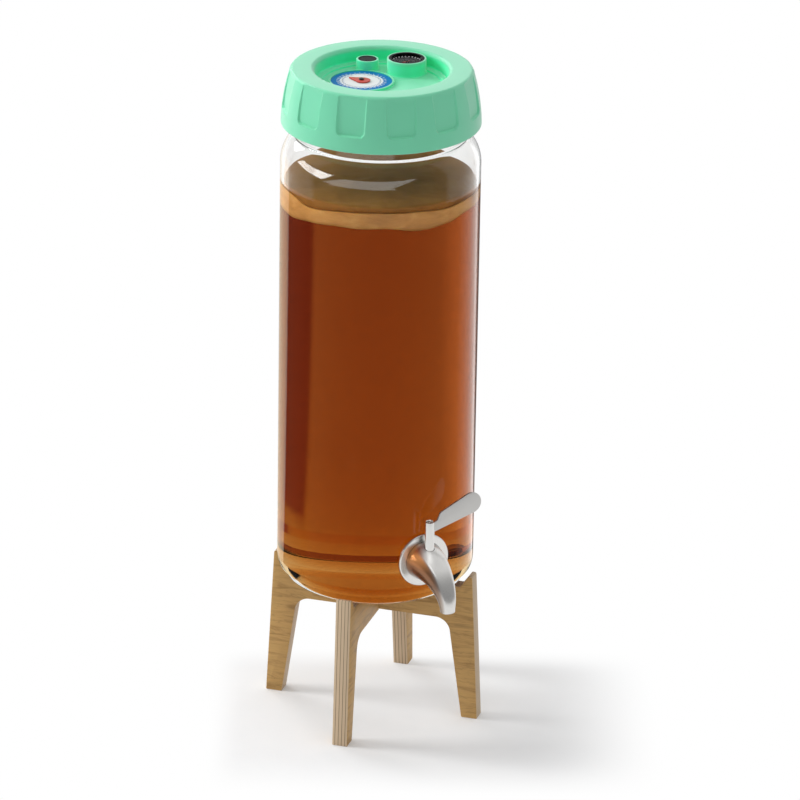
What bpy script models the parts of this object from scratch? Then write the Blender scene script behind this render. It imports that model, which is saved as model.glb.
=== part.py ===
"""Kombucha fermenter: a straight-sided glass jar with a deep screw lid and a steel
tap, standing on two plywood frames that cross under it.  Metres, +Z up.

The origin is on the ground under the middle of the whole part.  The spout points to
-Y, and the four legs stand on the diagonals.
"""
import math

import bmesh
import bpy
from mathutils import Matrix, Vector

MM = 0.001

# General
GAP = 0.3 * MM
OVERRUN = 4.0 * MM
MERGE = 0.02 * MM
FLAT_ANGLE = math.radians(0.05)

# Plywood stand
BOARD = 13.0 * MM
BAR_TOP = 120.0 * MM
BAR_DEPTH = 30.5 * MM
TIP_RISE = 10.0 * MM
TIP_STAND_OFF = 5.0 * MM
TIP_WIDTH = 3.5 * MM
TIP_SLOPE = 7.0 * MM
LEG_SPLAY = 6.5 * MM
FOOT_WIDTH = 14.0 * MM
LEG_TOP_WIDTH = 20.6 * MM
ARCH_FILLET = 13.0 * MM
ARRIS = 0.6 * MM
SLOT_CLEARANCE = 0.3 * MM

# Glass jar
JAR_RADIUS = 82.5 * MM
GLASS = 3.0 * MM
BASE_GLASS = 4.5 * MM
BASE_CORNER = 20.0 * MM
BASE_PUNT = 1.5 * MM
BASE_RING_INSET = 8.5 * MM
RIM_HEIGHT = 441.5 * MM
NECK_RISE = 73.0 * MM
SHOULDER_RADIUS = 30.0 * MM
NECK_INSET = 14.5 * MM
RIM_ROUND = 1.2 * MM

# Lid
LID_HEIGHT = 46.5 * MM
LID_WALL = 2.8 * MM
LID_FOOT_INSET = 0.3 * MM
LID_TOP_INSET = 6.9 * MM
LID_BULGE_SHARE = 0.8
LID_EDGE_ROUND = 5.5 * MM
LID_FOOT_ROUND = 1.5 * MM
SKIRT_CLEARANCE = 3.5 * MM
RIM_LAND = 20.6 * MM
RECESS_DEPTH = 12.5 * MM
RECESS_ROUND = 2.5 * MM
RECESS_STEP = 1.2 * MM
RECESS_STEP_WIDTH = 3.0 * MM
POCKET_COUNT = 12
POCKET_WIDTH = 24.0 * MM
POCKET_TOP_DEPTH = 1.3 * MM
POCKET_FOOT_DEPTH = 2.2 * MM
POCKET_LENGTH = 33.0 * MM
POCKET_FILLET = 4.5 * MM
POCKET_PHASE = math.radians(14.0)
GASKET_THICKNESS = 3.1 * MM
GASKET_WIDTH = 8.0 * MM

# Date dial: its place and radius are shares of the recess's radius
DATE_X_SHARE = -0.24
DATE_Y_SHARE = 0.189
DATE_RADIUS_SHARE = 0.4545
DATE_THICKNESS = 1.0 * MM
DATE_RIM_WIDTH = 1.6 * MM
DATE_RIM_HEIGHT = 2.0 * MM
POINTER_LENGTH = 12.5 * MM
POINTER_RADIUS = 6.2 * MM
POINTER_TAIL = 2.6 * MM
POINTER_THICKNESS = 0.9 * MM
POINTER_ANGLE = math.radians(122.0)
PIVOT_RADIUS = 1.3 * MM
PIVOT_HEAD = 2.1 * MM
PIVOT_HEAD_HEIGHT = 0.8 * MM

# Thermometer: its place and boss are shares of the recess's radius
THERMO_X_SHARE = 0.582
THERMO_Y_SHARE = 0.313
THERMO_BOSS_SHARE = 0.2945
THERMO_BOSS_HEIGHT = 12.5 * MM
THERMO_BOSS_WALL = 1.6 * MM
THERMO_CASE_WALL = 1.1 * MM
THERMO_CASE_DEPTH = 9.0 * MM
THERMO_FACE_DEPTH = 4.0 * MM
THERMO_FACE_THICKNESS = 0.8 * MM
THERMO_LENS_THICKNESS = 1.2 * MM
THERMO_BEZEL_HEIGHT = 0.9 * MM
THERMO_BEZEL_WIDTH = 2.0 * MM
NEEDLE_END_SPACE = 4.0 * MM
NEEDLE_TAIL = 3.0 * MM
NEEDLE_WIDTH = 1.5 * MM
NEEDLE_THICKNESS = 0.4 * MM
NEEDLE_EYE = 1.5 * MM
NEEDLE_ANGLE = math.radians(200.0)
HUB_RADIUS = 0.8 * MM
HUB_HEAD = 1.5 * MM
HUB_HEAD_HEIGHT = 0.4 * MM

# Vent: its place and boss are shares of the recess's radius
VENT_X_SHARE = 0.127
VENT_Y_SHARE = 0.704
VENT_BOSS_SHARE = 0.169
VENT_BOSS_HEIGHT = 9.0 * MM
VENT_BOSS_WALL = 1.8 * MM
VENT_DEPTH = 3.0 * MM
VENT_DISH = 0.5 * MM
VENT_LEDGE = 3.0 * MM

# Tap
TAP_HEIGHT = 45.0 * MM
TAP_REACH = 46.3 * MM
OUTER_GASKET_THICKNESS = 1.5 * MM
OUTER_GASKET_RADIUS = 15.0 * MM
FLANGE_THICKNESS = 2.6 * MM
FLANGE_RADIUS = 22.8 * MM
FLANGE_ROUND = 1.0 * MM
SHANK_RADIUS = 8.0 * MM
SHANK_INSIDE = 15.0 * MM
HOLE_CLEARANCE = 0.6 * MM
INNER_GASKET_THICKNESS = 3.0 * MM
INNER_GASKET_RADIUS = 14.0 * MM
WASHER_THICKNESS = 1.2 * MM
WASHER_RADIUS = 13.0 * MM
NUT_THICKNESS = 6.0 * MM
NUT_RADIUS = 12.5 * MM
HORN_ROOT_RADIUS = 16.6 * MM
OUTLET_RADIUS = 6.3 * MM
OUTLET_DROP = 30.0 * MM
HORN_TAPER_SHARE = 1.2
HORN_ROOT_RUN = 1.5 * MM
OUTLET_RUN = 2.5 * MM
WATERWAY_RADIUS = 2.6 * MM
OUTLET_BORE = 4.8 * MM
STEM_STAND_OFF = 13.0 * MM
STEM_RADIUS = 4.0 * MM
STEM_TOP = 38.0 * MM
STEM_FOOT = 7.0 * MM
STEM_CLEARANCE = 0.3 * MM
STEM_TOP_ROUND = 0.5 * MM
SEAL_WIDTH = 1.5 * MM
SEAL_HEIGHT = 2.0 * MM
SEAL_LEVEL = 7.0 * MM
LEVER_THICKNESS = 2.0 * MM
LEVER_ROOT_DROP = 9.6 * MM
LEVER_ROOT_HEIGHT = 8.6 * MM
LEVER_NECK = 6.8 * MM
LEVER_SHOULDER = 9.4 * MM
LEVER_LENGTH = 47.6 * MM
LEVER_TIP_RADIUS = 9.2 * MM
LEVER_SHOULDER_RISE = 6.5 * MM
LEVER_LOW_RISE = 10.2 * MM
LEVER_EDGE = 0.3 * MM

# Facets
JAR_STEPS = 48
LID_STEPS = 60
RING_STEPS = 28
SMALL_STEPS = 16
ARC_STEPS = 4

# Places worked out from the sizes above
AXIS_Y = (TAP_REACH + OUTLET_RADIUS) / 2
TIP_OUTER = JAR_RADIUS + TIP_STAND_OFF
FOOT_OUTER = TIP_OUTER + LEG_SPLAY
LEG_INNER_TOP = TIP_OUTER - LEG_TOP_WIDTH
JAR_BASE = BAR_TOP + GAP
BASE_RING = JAR_RADIUS - BASE_CORNER - BASE_RING_INSET
SIDE_HEIGHT = RIM_HEIGHT - NECK_RISE
NECK_RADIUS = JAR_RADIUS - NECK_INSET
RIM_TOP = JAR_BASE + RIM_HEIGHT
LID_TOP = RIM_TOP + GASKET_THICKNESS + 2 * GAP + LID_WALL
LID_BASE_RADIUS = JAR_RADIUS - LID_FOOT_INSET
LID_TOP_RADIUS = JAR_RADIUS - LID_TOP_INSET
SKIRT_INNER = NECK_RADIUS + SKIRT_CLEARANCE
RECESS_RADIUS = LID_TOP_RADIUS - RIM_LAND
FLOOR_TOP = LID_TOP - RECESS_DEPTH
DATE_X = RECESS_RADIUS * DATE_X_SHARE
DATE_Y = RECESS_RADIUS * DATE_Y_SHARE
DATE_RADIUS = RECESS_RADIUS * DATE_RADIUS_SHARE
THERMO_X = RECESS_RADIUS * THERMO_X_SHARE
THERMO_Y = RECESS_RADIUS * THERMO_Y_SHARE
THERMO_BOSS_RADIUS = RECESS_RADIUS * THERMO_BOSS_SHARE
THERMO_RADIUS = THERMO_BOSS_RADIUS - THERMO_BOSS_WALL
THERMO_INNER = THERMO_RADIUS - THERMO_CASE_WALL
NEEDLE_LENGTH = THERMO_INNER - NEEDLE_END_SPACE
VENT_X = RECESS_RADIUS * VENT_X_SHARE
VENT_Y = RECESS_RADIUS * VENT_Y_SHARE
VENT_BOSS_RADIUS = RECESS_RADIUS * VENT_BOSS_SHARE
VENT_RADIUS = VENT_BOSS_RADIUS - VENT_BOSS_WALL
VENT_BORE = VENT_RADIUS - VENT_LEDGE
TAP_AXIS = JAR_BASE + TAP_HEIGHT
GASKET_FACE = JAR_RADIUS + GAP
FLANGE_BACK = JAR_RADIUS + OUTER_GASKET_THICKNESS + GAP
HORN_ROOT = FLANGE_BACK + FLANGE_THICKNESS + GAP
STEM_OUT = JAR_RADIUS + STEM_STAND_OFF


# Helpers

def clear_scene():
    """Remove every object of the scene the script is run in."""
    for obj in list(bpy.data.objects):
        bpy.data.objects.remove(obj, do_unlink=True)


def make_collection(name):
    """A new collection linked under the scene."""
    collection = bpy.data.collections.new(name)
    bpy.context.scene.collection.children.link(collection)
    return collection


def put_in(obj, collection):
    """Move an object into one collection only."""
    for owner in list(obj.users_collection):
        owner.objects.unlink(obj)
    collection.objects.link(obj)
    return obj


def material(name, colour, roughness, metallic=0.0, transmission=0.0):
    """A Principled material."""
    mat = bpy.data.materials.new(name)
    mat.use_nodes = True
    shader = mat.node_tree.nodes["Principled BSDF"]
    shader.inputs["Base Color"].default_value = (*colour, 1.0)
    shader.inputs["Roughness"].default_value = roughness
    shader.inputs["Metallic"].default_value = metallic
    shader.inputs["Transmission Weight"].default_value = transmission
    mat.diffuse_color = (*colour, 1.0)
    return mat


def apply_modifiers(obj):
    """Replace an object's mesh by its evaluated mesh and drop its modifiers."""
    depsgraph = bpy.context.evaluated_depsgraph_get()
    mesh = bpy.data.meshes.new_from_object(obj.evaluated_get(depsgraph))
    obj.modifiers.clear()
    obj.data = mesh
    return obj


def clean_mesh(mesh, unit=1.0):
    """Weld a mesh, join its coplanar faces and turn its faces outward."""
    work = bmesh.new()
    work.from_mesh(mesh)
    bmesh.ops.remove_doubles(work, verts=work.verts, dist=MERGE / unit / 4)
    bmesh.ops.dissolve_degenerate(work, edges=work.edges, dist=MERGE / unit / 8)
    bmesh.ops.dissolve_limit(work, angle_limit=FLAT_ANGLE, verts=work.verts,
                             edges=work.edges)
    bmesh.ops.recalc_face_normals(work, faces=work.faces)
    bmesh.ops.scale(work, vec=(unit, unit, unit), verts=work.verts)
    work.to_mesh(mesh)
    work.free()


def shade_round(obj, degrees=35.0):
    """Smooth shading with sharp edges kept."""
    obj.data.shade_smooth()
    obj.data.set_sharp_from_angle(angle=math.radians(degrees))
    return obj


def turned(name, profile, steps, collection, place=(0.0, 0.0, 0.0)):
    """A solid of revolution about Z from (radius, height) points.

    A profile that leaves the axis ends on it; any other is a closed ring.
    """
    mesh = bpy.data.meshes.new(name)
    verts = [(radius, 0.0, height) for radius, height in profile]
    edges = [(i, i + 1) for i in range(len(verts) - 1)]
    if profile[0][0] > MERGE:
        edges.append((len(verts) - 1, 0))
    mesh.from_pydata(verts, edges, [])
    obj = bpy.data.objects.new(name, mesh)
    collection.objects.link(obj)
    screw = obj.modifiers.new("Turn", "SCREW")
    screw.axis = "Z"
    screw.angle = 2 * math.pi
    screw.steps = steps
    screw.render_steps = steps
    screw.use_merge_vertices = True
    screw.merge_threshold = MERGE
    obj.location = place
    apply_modifiers(obj)
    clean_mesh(obj.data)
    return shade_round(obj)


def ring_profile(inner, outer, low, high, chamfer=0.0):
    """Closed profile of a flat ring, run down its outer side."""
    if chamfer <= 0.0:
        return [(inner, high), (outer, high), (outer, low), (inner, low)]
    return [(inner, high), (outer - chamfer, high), (outer, high - chamfer),
            (outer, low + chamfer), (outer - chamfer, low), (inner, low)]


def arc(centre, radius, start, end, steps):
    """Points on an arc, angles in radians from the first axis."""
    points = []
    for i in range(steps + 1):
        angle = start + (end - start) * i / steps
        points.append((centre[0] + radius * math.cos(angle),
                       centre[1] + radius * math.sin(angle)))
    return points


def fillet(before, corner, after, radius, steps):
    """Points of a rounded corner between two straight edges."""
    corner = Vector(corner)
    to_before = (Vector(before) - corner).normalized()
    to_after = (Vector(after) - corner).normalized()
    half = to_before.angle(to_after) / 2
    reach = radius / math.tan(half)
    centre = corner + (to_before + to_after).normalized() * (radius / math.sin(half))
    first = corner + to_before * reach - centre
    last = corner + to_after * reach - centre
    turn = first.angle_signed(last)
    points = []
    for i in range(steps + 1):
        spoke = first.copy()
        spoke.rotate(Matrix.Rotation(-turn * i / steps, 2))
        points.append(tuple(centre + spoke))
    return points


def plate(name, outline, thickness, collection):
    """A flat plate: a closed 2D outline, extruded half its thickness each way.

    The outline lies in the object's XY plane and the thickness along its Z.  It is
    filled in millimetres, which keeps small outlines exact, and then made metres.
    """
    curve = bpy.data.curves.new(name, "CURVE")
    curve.dimensions = "2D"
    curve.fill_mode = "BOTH"
    curve.extrude = thickness / MM / 2
    spline = curve.splines.new("POLY")
    spline.points.add(len(outline) - 1)
    for point, (x, y) in zip(spline.points, outline):
        point.co = (x / MM, y / MM, 0.0, 1.0)
    spline.use_cyclic_u = True
    obj = bpy.data.objects.new(name, curve)
    collection.objects.link(obj)
    return mesh_from_curve(obj, collection, MM)


def mesh_from_curve(curve_obj, collection, unit=1.0):
    """Turn a curve object into a welded mesh object under the same name."""
    name = curve_obj.name
    bpy.context.view_layer.update()
    depsgraph = bpy.context.evaluated_depsgraph_get()
    mesh = bpy.data.meshes.new_from_object(curve_obj.evaluated_get(depsgraph))
    clean_mesh(mesh, unit)
    matrix = curve_obj.matrix_world.copy()
    bpy.data.objects.remove(curve_obj, do_unlink=True)
    obj = bpy.data.objects.new(name, mesh)
    obj.matrix_world = matrix
    collection.objects.link(obj)
    return obj


def tube(name, points, radii, sides, collection):
    """A filled tube along points, with its own radius at each."""
    curve = bpy.data.curves.new(name, "CURVE")
    curve.dimensions = "3D"
    curve.bevel_depth = 1.0
    curve.bevel_resolution = sides // 4 - 1
    curve.use_fill_caps = True
    spline = curve.splines.new("POLY")
    spline.points.add(len(points) - 1)
    for point, place, radius in zip(spline.points, points, radii):
        point.co = (*place, 1.0)
        point.radius = radius
    obj = bpy.data.objects.new(name, curve)
    collection.objects.link(obj)
    return mesh_from_curve(obj, collection)


def cylinder(name, radius, length, steps, place, axis, collection):
    """A cylinder whose middle is at a place, along X, Y or Z."""
    bpy.ops.mesh.primitive_cylinder_add(vertices=steps, radius=radius, depth=length)
    obj = bpy.context.object
    obj.name = name
    turn = {"X": (0.0, math.pi / 2, 0.0), "Y": (math.pi / 2, 0.0, 0.0), "Z": (0.0, 0.0, 0.0)}
    obj.rotation_euler = turn[axis]
    obj.location = place
    return put_in(obj, collection)


def hide_cutter(obj):
    """Show a cutter as wire only and keep it out of renders."""
    obj.hide_render = True
    obj.display_type = "WIRE"
    return obj


def combine(obj, other, operation, solver="EXACT"):
    """Cut with, or join to, another object."""
    hide_cutter(other)
    modifier = obj.modifiers.new(operation.title(), "BOOLEAN")
    modifier.operation = operation
    modifier.solver = solver
    modifier.object = other
    bpy.context.view_layer.update()
    apply_modifiers(obj)
    clean_mesh(obj.data)
    return obj


def round_edges(obj, width, degrees=50.0, segments=1):
    """Bevel the sharp edges of a plate."""
    bevel = obj.modifiers.new("Edges", "BEVEL")
    bevel.width = width
    bevel.segments = segments
    bevel.limit_method = "ANGLE"
    bevel.angle_limit = math.radians(degrees)
    return apply_modifiers(obj)


# Stand

def frame_outline(slot_from_top):
    """Outline of one frame: two splayed legs, a crossbar and raised tips.

    The slot in the middle of the crossbar takes the other frame.
    """
    bar_low = BAR_TOP - BAR_DEPTH
    tip = BAR_TOP + TIP_RISE
    tip_inner = TIP_OUTER - TIP_WIDTH
    cradle = tip_inner - TIP_SLOPE
    foot_inner = FOOT_OUTER - FOOT_WIDTH
    arch = fillet((0.0, bar_low), (LEG_INNER_TOP, bar_low), (foot_inner, 0.0),
                  ARCH_FILLET, 2 * ARC_STEPS)
    half_slot = BOARD / 2 + SLOT_CLEARANCE
    middle = BAR_TOP - BAR_DEPTH / 2
    right = [(cradle, BAR_TOP), (tip_inner, tip), (TIP_OUTER, tip), (FOOT_OUTER, 0.0),
             (foot_inner, 0.0)] + arch[::-1]
    if slot_from_top:
        floor = middle - SLOT_CLEARANCE / 2
        right = [(half_slot, floor), (half_slot, BAR_TOP)] + right
    else:
        floor = middle + SLOT_CLEARANCE / 2
        right = right + [(half_slot, bar_low), (half_slot, floor)]
    left = [(-x, z) for x, z in reversed(right)]
    return right + left


def make_frame(name, turn, slot_from_top, collection, mat):
    """One plywood frame standing on a diagonal of the plan."""
    obj = plate(name, frame_outline(slot_from_top), BOARD, collection)
    round_edges(obj, ARRIS)
    obj.rotation_euler = (math.pi / 2, 0.0, turn)
    obj.location = (0.0, AXIS_Y, 0.0)
    obj.data.materials.append(mat)
    return obj


# Jar

def jar_profile():
    """Inside, over the rim, down the outside and in under the base."""
    inner = JAR_RADIUS - GLASS
    inner_corner = BASE_CORNER - GLASS
    floor = BASE_GLASS
    shoulder = Vector((JAR_RADIUS - SHOULDER_RADIUS, SIDE_HEIGHT))
    neck_turn = math.acos((NECK_RADIUS - shoulder.x) / SHOULDER_RADIUS)
    inner_shoulder = SHOULDER_RADIUS - GLASS
    neck_inner = NECK_RADIUS - GLASS
    inner_turn = math.acos((neck_inner - shoulder.x) / inner_shoulder)
    points = [(0.0, floor + BASE_PUNT)]
    points += [(BASE_RING - GLASS, floor)]
    points += arc((inner - inner_corner, floor + inner_corner), inner_corner,
                  -math.pi / 2, 0.0, ARC_STEPS)
    points += arc(shoulder, inner_shoulder, 0.0, inner_turn, ARC_STEPS)
    points += [(neck_inner, RIM_HEIGHT - RIM_ROUND), (neck_inner + RIM_ROUND, RIM_HEIGHT),
               (NECK_RADIUS - RIM_ROUND, RIM_HEIGHT), (NECK_RADIUS, RIM_HEIGHT - RIM_ROUND)]
    points += arc(shoulder, SHOULDER_RADIUS, neck_turn, 0.0, ARC_STEPS + 2)
    points += arc((JAR_RADIUS - BASE_CORNER, BASE_CORNER), BASE_CORNER,
                  0.0, -math.pi / 2, ARC_STEPS + 2)
    points += [(BASE_RING, 0.0), (0.0, BASE_PUNT)]
    return points


def make_jar(parts, cutters, mat):
    """The glass jar, with a plain round hole for the tap."""
    jar = turned("glass_jar", jar_profile(), JAR_STEPS, parts, (0.0, AXIS_Y, JAR_BASE))
    hole = cylinder("tap_hole_cutter", SHANK_RADIUS + HOLE_CLEARANCE, JAR_RADIUS,
                    RING_STEPS, (0.0, AXIS_Y - JAR_RADIUS, TAP_AXIS), "Y", cutters)
    combine(jar, hole, "DIFFERENCE")
    shade_round(jar)
    jar.data.materials.clear()
    jar.data.materials.append(mat)
    return jar


# Lid

def skirt_points():
    """The lid's outer side from the top edge to the foot, slightly convex."""
    drop = LID_HEIGHT - LID_EDGE_ROUND - LID_FOOT_ROUND
    high = LID_TOP - LID_EDGE_ROUND
    spread = LID_BASE_RADIUS - LID_TOP_RADIUS
    points = []
    for share in (0.0, 0.16, 0.37, 0.6, 0.82, 1.0):
        bulge = share + LID_BULGE_SHARE * share * (1.0 - share)
        points.append((LID_TOP_RADIUS + spread * bulge, high - drop * share))
    return points


def lid_profile():
    """Recess, annular top, skirt, and the channel the neck rises into."""
    floor = FLOOR_TOP
    under = floor - LID_WALL
    edge = skirt_points()
    wall_foot = RECESS_RADIUS - RECESS_ROUND
    step = wall_foot - RECESS_STEP_WIDTH
    points = [(0.0, floor - RECESS_STEP), (step - RECESS_STEP, floor - RECESS_STEP),
              (step, floor)]
    points += arc((wall_foot, floor + RECESS_ROUND), RECESS_ROUND, -math.pi / 2, 0.0, 2)
    points += arc((RECESS_RADIUS + RECESS_ROUND, LID_TOP - RECESS_ROUND), RECESS_ROUND,
                  math.pi, math.pi / 2, 3)
    points += arc((edge[0][0] - LID_EDGE_ROUND, LID_TOP - LID_EDGE_ROUND), LID_EDGE_ROUND,
                  math.pi / 2, math.radians(18.0), 4)
    points += edge
    points += [(LID_BASE_RADIUS - LID_FOOT_ROUND, LID_TOP - LID_HEIGHT),
               (SKIRT_INNER + LID_FOOT_ROUND, LID_TOP - LID_HEIGHT),
               (SKIRT_INNER, LID_TOP - LID_HEIGHT + LID_FOOT_ROUND),
               (SKIRT_INNER, LID_TOP - LID_WALL)]
    points += [(RECESS_RADIUS + LID_WALL, LID_TOP - LID_WALL),
               (RECESS_RADIUS + LID_WALL, under), (0.0, under)]
    return points


def pocket_outline():
    """Grip pocket seen square on: open at the top, round lower corners."""
    half = POCKET_WIDTH / 2
    low = -POCKET_LENGTH
    right = [(half, OVERRUN)]
    right += fillet((half, OVERRUN), (half, low), (0.0, low), POCKET_FILLET, ARC_STEPS)
    left = [(-x, z) for x, z in reversed(right)]
    return right + left


def pocket_cutter(index, cutters):
    """One pocket's cutter: a block whose back face is the pocket's floor."""
    depth = 2 * OVERRUN + POCKET_FOOT_DEPTH
    outline = pocket_outline()
    obj = plate("pocket_cutter_%02d" % index, outline, depth, cutters)
    top_floor = LID_TOP_RADIUS - POCKET_TOP_DEPTH
    foot_floor = LID_BASE_RADIUS - POCKET_FOOT_DEPTH
    lean = math.atan2(foot_floor - top_floor, POCKET_LENGTH)
    turn = POCKET_PHASE + index * 2 * math.pi / POCKET_COUNT
    stand = Matrix.Rotation(math.pi / 2, 4, "X")
    tilt = Matrix.Rotation(-lean, 4, "X")
    out = Matrix.Translation((0.0, -(top_floor + depth / 2 / math.cos(lean)), LID_TOP))
    spin = Matrix.Rotation(turn, 4, "Z")
    place = Matrix.Translation((0.0, AXIS_Y, 0.0))
    obj.matrix_world = place @ spin @ out @ tilt @ stand
    return hide_cutter(obj)


def join_cutters(name, objects, cutters):
    """Put several cutters that don't touch into one object."""
    work = bmesh.new()
    for obj in objects:
        mesh = obj.data.copy()
        mesh.transform(obj.matrix_world)
        work.from_mesh(mesh)
        bpy.data.meshes.remove(mesh)
        bpy.data.objects.remove(obj, do_unlink=True)
    mesh = bpy.data.meshes.new(name)
    work.to_mesh(mesh)
    work.free()
    joined = bpy.data.objects.new(name, mesh)
    cutters.objects.link(joined)
    return hide_cutter(joined)


def lid_place(x, y):
    """World place of a point given from the lid's centre."""
    return (x, AXIS_Y + y)


def boss_blank(name, radius, height, x, y, cutters):
    """The solid of a boss, from inside the lid's floor up."""
    low = FLOOR_TOP - LID_WALL / 2 - RECESS_STEP / 2
    chamfer = LID_FOOT_ROUND / 2
    top = FLOOR_TOP - RECESS_STEP + height
    profile = [(0.0, top), (radius - chamfer, top), (radius, top - chamfer),
               (radius, low), (0.0, low)]
    px, py = lid_place(x, y)
    return turned(name, profile, RING_STEPS, cutters, (px, py, 0.0))


def bore_blank(name, radius, low, high, x, y, cutters, steps=RING_STEPS):
    """A plain bore's cutter between two levels."""
    px, py = lid_place(x, y)
    return cylinder(name, radius, high - low, steps, (px, py, (low + high) / 2), "Z", cutters)


def make_lid(parts, cutters, mat):
    """The lid: a thin moulding with grip pockets, three seats and a recess."""
    lid = turned("lid_shell", lid_profile(), LID_STEPS, parts, (0.0, AXIS_Y, 0.0))
    floor = FLOOR_TOP - RECESS_STEP
    date_outer = DATE_RADIUS + GAP + DATE_RIM_WIDTH
    joins = [
        boss_blank("date_boss", date_outer, DATE_RIM_HEIGHT, DATE_X, DATE_Y, cutters),
        boss_blank("thermo_boss", THERMO_BOSS_RADIUS, THERMO_BOSS_HEIGHT,
                   THERMO_X, THERMO_Y, cutters),
        boss_blank("vent_boss", VENT_BOSS_RADIUS, VENT_BOSS_HEIGHT, VENT_X, VENT_Y, cutters),
    ]
    for blank in joins:
        combine(lid, blank, "UNION")
    thermo_top = floor + THERMO_BOSS_HEIGHT
    vent_top = floor + VENT_BOSS_HEIGHT
    bores = [
        bore_blank("date_bore", DATE_RADIUS + GAP, floor, floor + DATE_RIM_HEIGHT + OVERRUN,
                   DATE_X, DATE_Y, cutters),
        bore_blank("pivot_bore", PIVOT_RADIUS + GAP, floor - LID_WALL / 2, floor + OVERRUN,
                   DATE_X, DATE_Y, cutters, SMALL_STEPS),
        bore_blank("thermo_bore", THERMO_RADIUS + GAP, thermo_top - THERMO_CASE_DEPTH - GAP,
                   thermo_top + OVERRUN, THERMO_X, THERMO_Y, cutters),
        bore_blank("vent_seat", VENT_RADIUS + GAP, vent_top - VENT_DEPTH - GAP,
                   vent_top + OVERRUN, VENT_X, VENT_Y, cutters),
        bore_blank("vent_bore", VENT_BORE, floor - 2 * LID_WALL, vent_top,
                   VENT_X, VENT_Y, cutters, SMALL_STEPS),
    ]
    for bore in bores:
        combine(lid, bore, "DIFFERENCE")
    pockets = [pocket_cutter(i, cutters) for i in range(POCKET_COUNT)]
    combine(lid, join_cutters("pocket_cutters", pockets, cutters), "DIFFERENCE")
    shade_round(lid, 25.0)
    lid.data.materials.clear()
    lid.data.materials.append(mat)
    return lid


def make_lid_gasket(parts, mat):
    """The ring between the jar's rim and the top of the lid's channel."""
    low = RIM_TOP + GAP
    high = LID_TOP - LID_WALL - GAP
    middle = NECK_RADIUS - GLASS / 2
    profile = ring_profile(middle - GASKET_WIDTH / 2, middle + GASKET_WIDTH / 2 - GLASS / 2,
                           low, high)
    gasket = turned("lid_gasket", profile, JAR_STEPS, parts, (0.0, AXIS_Y, 0.0))
    gasket.data.materials.append(mat)
    return gasket


# Date dial

def make_date_dial(parts, mat):
    """A thin printed disc with a hole for its pivot."""
    low = FLOOR_TOP - RECESS_STEP + GAP
    px, py = lid_place(DATE_X, DATE_Y)
    profile = ring_profile(PIVOT_RADIUS + GAP, DATE_RADIUS, low, low + DATE_THICKNESS)
    dial = turned("date_dial", profile, RING_STEPS, parts, (px, py, 0.0))
    dial.data.materials.append(mat)
    return dial


def make_date_pointer(parts, cutters, mat):
    """A drop-shaped pointer: a round end drawn out to a tip, turning on the pivot."""
    tip = POINTER_LENGTH
    spread = math.acos(POINTER_RADIUS / tip)
    outline = arc((-POINTER_TAIL / 2, 0.0), POINTER_RADIUS, spread, 2 * math.pi - spread,
                  4 * ARC_STEPS)
    outline = [(tip, 0.0)] + outline
    pointer = plate("date_pointer", outline, POINTER_THICKNESS, parts)
    low = FLOOR_TOP - RECESS_STEP + GAP + DATE_THICKNESS + GAP
    px, py = lid_place(DATE_X, DATE_Y)
    pointer.location = (px, py, low + POINTER_THICKNESS / 2)
    pointer.rotation_euler = (0.0, 0.0, POINTER_ANGLE)
    bpy.context.view_layer.update()
    eye = cylinder("pointer_eye", PIVOT_RADIUS + GAP, OVERRUN, SMALL_STEPS,
                   tuple(pointer.location), "Z", cutters)
    combine(pointer, eye, "DIFFERENCE")
    pointer.data.materials.append(mat)
    return pointer


def make_date_pivot(parts, mat):
    """The pin the pointer turns on, headed above it."""
    floor = FLOOR_TOP - RECESS_STEP
    low = floor - LID_WALL / 2 + GAP
    head = floor + GAP + DATE_THICKNESS + GAP + POINTER_THICKNESS + GAP
    top = head + PIVOT_HEAD_HEIGHT
    px, py = lid_place(DATE_X, DATE_Y)
    profile = [(0.0, top), (PIVOT_HEAD, top), (PIVOT_HEAD, head), (PIVOT_RADIUS, head),
               (PIVOT_RADIUS, low), (0.0, low)]
    pivot = turned("date_pivot", profile, SMALL_STEPS, parts, (px, py, 0.0))
    pivot.data.materials.append(mat)
    return pivot


# Thermometer

def thermo_levels():
    """Heights of the thermometer's stack, from the case's floor to its lens."""
    top = FLOOR_TOP - RECESS_STEP + THERMO_BOSS_HEIGHT
    base = top - THERMO_CASE_DEPTH
    face = top - THERMO_FACE_DEPTH
    return top, base, face


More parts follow.
